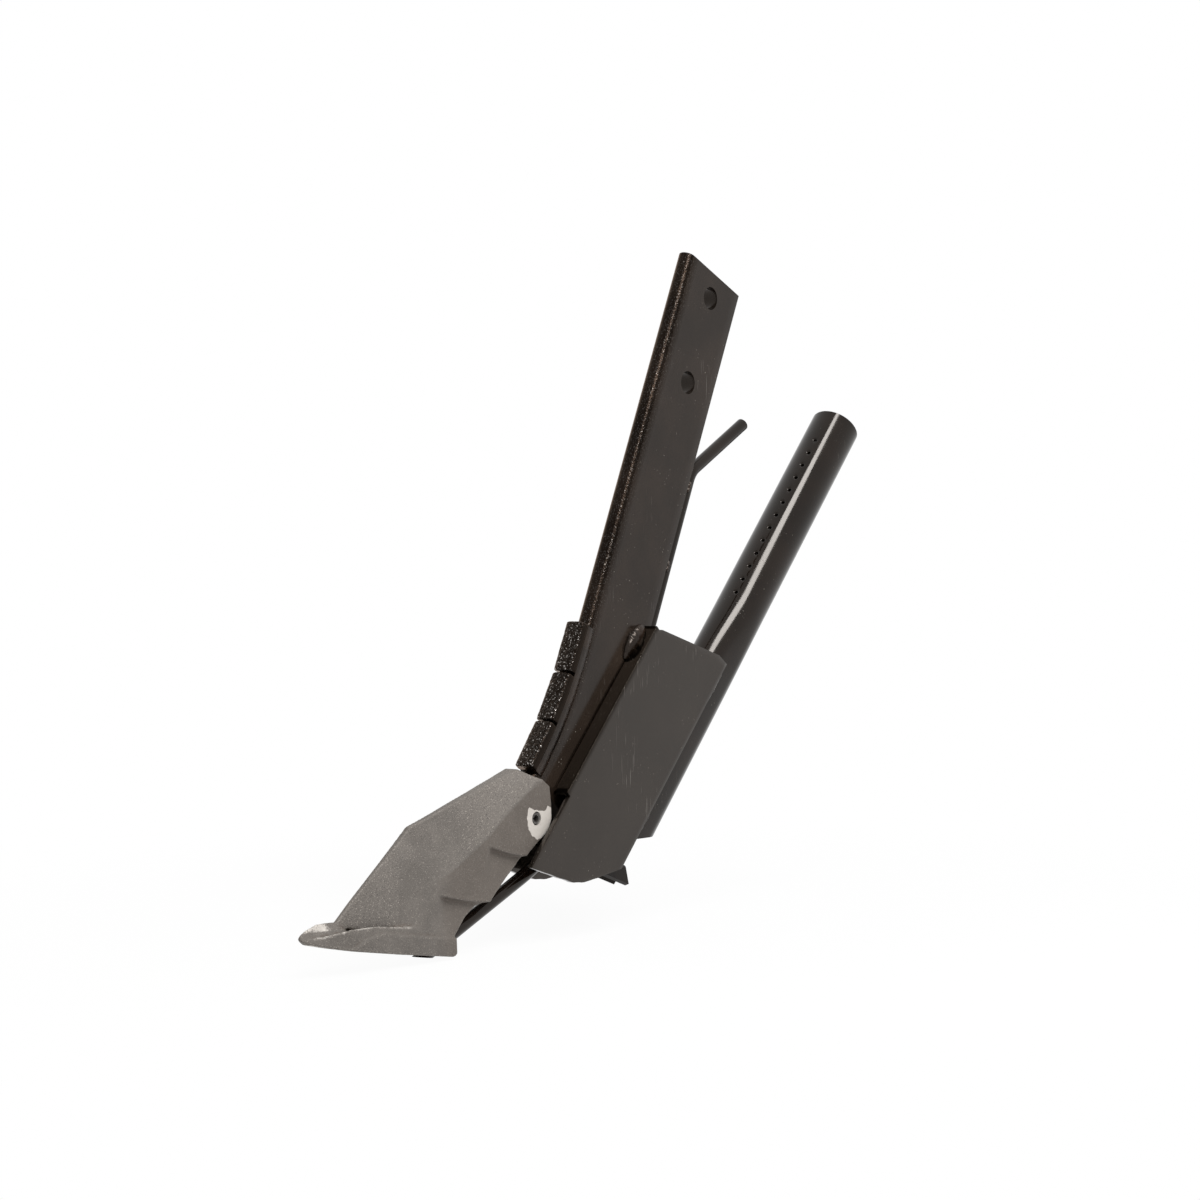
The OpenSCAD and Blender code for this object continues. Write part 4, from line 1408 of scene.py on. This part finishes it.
class OPENER_OT_studio(bpy.types.Operator):
    """Makes the pale floor, the soft light and the camera"""
    bl_idname = "opener.studio"
    bl_label = "Studio"

    def execute(self, context):
        studio = context.scene.opener_studio
        low, high = (np.array(v) / MM for v in CAD_BOX)
        rings = np.array([0.0, 200, 500, 1000, 2000, 4000, 8000, 16000, 30000])
        a = np.linspace(0, 2 * np.pi, 96, endpoint=False)
        level = low[2] - 1.0
        middle = (low + high) / 2
        disc = np.stack([middle[0] + (rings[:, None] + 0.01) * np.cos(a),
                         middle[1] + (rings[:, None] + 0.01) * np.sin(a),
                         np.full((len(rings), 96), level)], -1)
        faces = grid_faces(len(rings), 96, close_cols=True)
        floor = mesh_object("Floor", (disc.reshape(-1, 3), faces))
        floor.data.materials.append(floor_material(studio.floor_colour))
        studio_world(context.scene)
        light = bpy.data.lights.new("Key Lamp", "AREA")
        light.shape, light.size, light.size_y = "RECTANGLE", *LAMP_SIZE
        light.energy = studio.key_strength
        lamp = bpy.data.objects.new("Key Lamp", light)
        context.scene.collection.objects.link(lamp)
        away = LAMP_WAY / np.linalg.norm(LAMP_WAY)
        lamp.matrix_world = facing(middle * MM + LAMP_FAR * away, LAMP_WAY)
        camera = bpy.data.cameras.new("Camera")
        camera.lens, camera.sensor_width = studio.lens, 36.0
        camera.clip_end = 200.0
        view = bpy.data.objects.new("Camera", camera)
        context.scene.collection.objects.link(view)
        view.matrix_world = facing(CAMERA_PLACE, CAMERA_BACK)
        context.scene.camera = view
        context.scene.view_settings.view_transform = "Standard"
        return {"FINISHED"}


def facing(place, back):
    """Matrix of a lamp or camera at a place, with its back to a direction and upright."""
    back = np.asarray(back, float) / np.linalg.norm(back)
    right = np.cross([0.0, 0.0, 1.0], back)
    right /= np.linalg.norm(right)
    up = np.cross(back, right)
    turned = Matrix(np.stack([right, up, back], 1).tolist()).to_4x4()
    turned.translation = place
    return turned


def backdrop_rays(s):
    """1 for rays that should see the white background."""
    rays = s.add("ShaderNodeLightPath").outputs
    glossy = s.sum("MAXIMUM", rays["Is Glossy Ray"], rays["Is Transmission Ray"])
    return s.sum("MAXIMUM", rays["Is Camera Ray"], glossy)


def floor_material(colour):
    """Pale matt floor that shows nearly white, and keeps a light shadow."""
    material, s, place = start_material("Studio Floor")
    speck = s.noise(place, 60, 4)
    base = s.blend(s.between(speck, 0.3, 0.7), shade(colour, 0.985), colour)
    matt = s.add("ShaderNodeBsdfPrincipled", {"Base Color": base, "Roughness": 0.9,
                                              "Specular IOR Level": 0.2})
    glow = s.add("ShaderNodeEmission", {"Color": (1.0, 1.0, 1.0, 1.0), "Strength": 1.0})
    far = s.add("ShaderNodeVectorMath", {0: place}, operation="LENGTH").outputs["Value"]
    share = s.sum("MULTIPLY", backdrop_rays(s), s.between(far, 0.3, 0.9, 0.93, 1.0))
    mix = s.add("ShaderNodeMixShader", {0: share, 1: matt.outputs[0], 2: glow.outputs[0]})
    s.add("ShaderNodeOutputMaterial", {"Surface": mix.outputs[0]})
    return material


def studio_world(scene):
    """White background; soft light that is strongest from above."""
    world = bpy.data.worlds.new("Studio World")
    world.use_nodes = True
    scene.world = world
    s = Sheet(world.node_tree)
    toward = s.add("ShaderNodeTexCoord").outputs["Generated"]
    above = s.add("ShaderNodeSeparateXYZ", {0: toward}).outputs["Z"]
    light = s.between(above, -0.1, 0.9, 0.30, 0.42)
    strength = s.add("ShaderNodeMix", {0: backdrop_rays(s), 2: light, 3: 1.0}).outputs[0]
    sky = s.add("ShaderNodeBackground", {"Color": (1.0, 1.0, 1.0, 1.0), "Strength": strength})
    s.add("ShaderNodeOutputWorld", {"Surface": sky.outputs[0]})


STEPS = ("shank", "wear_bars", "point", "pin", "liquid_tube", "boot", "seed_tube", "deflector",
         "studio")


class OPENER_PT_panel(bpy.types.Panel):
    bl_idname = "OPENER_PT_panel"
    bl_label = "Seeding Opener"
    bl_space_type = "VIEW_3D"
    bl_region_type = "UI"
    bl_category = "Opener"

    def draw(self, context):
        for step in STEPS:
            self.layout.operator("opener." + step)
        for group in (context.scene.opener_finish, context.scene.opener_studio):
            for key in group.bl_rna.properties.keys():
                if key not in {"rna_type", "name"}:
                    self.layout.prop(group, key)


CLASSES = (OpenerFinish, OpenerStudio, OPENER_OT_shank, OPENER_OT_wear_bars, OPENER_OT_point,
           OPENER_OT_pin, OPENER_OT_liquid_tube, OPENER_OT_boot, OPENER_OT_seed_tube,
           OPENER_OT_deflector, OPENER_OT_studio, OPENER_PT_panel)


def register():
    for kind in CLASSES:
        bpy.utils.register_class(kind)
    bpy.types.Scene.opener_finish = bpy.props.PointerProperty(type=OpenerFinish)
    bpy.types.Scene.opener_studio = bpy.props.PointerProperty(type=OpenerStudio)


def unregister():
    del bpy.types.Scene.opener_finish
    del bpy.types.Scene.opener_studio
    for kind in reversed(CLASSES):
        bpy.utils.unregister_class(kind)


def main():
    register()
    for step in STEPS:
        getattr(bpy.ops.opener, step)()


if __name__ == "__main__":
    main()
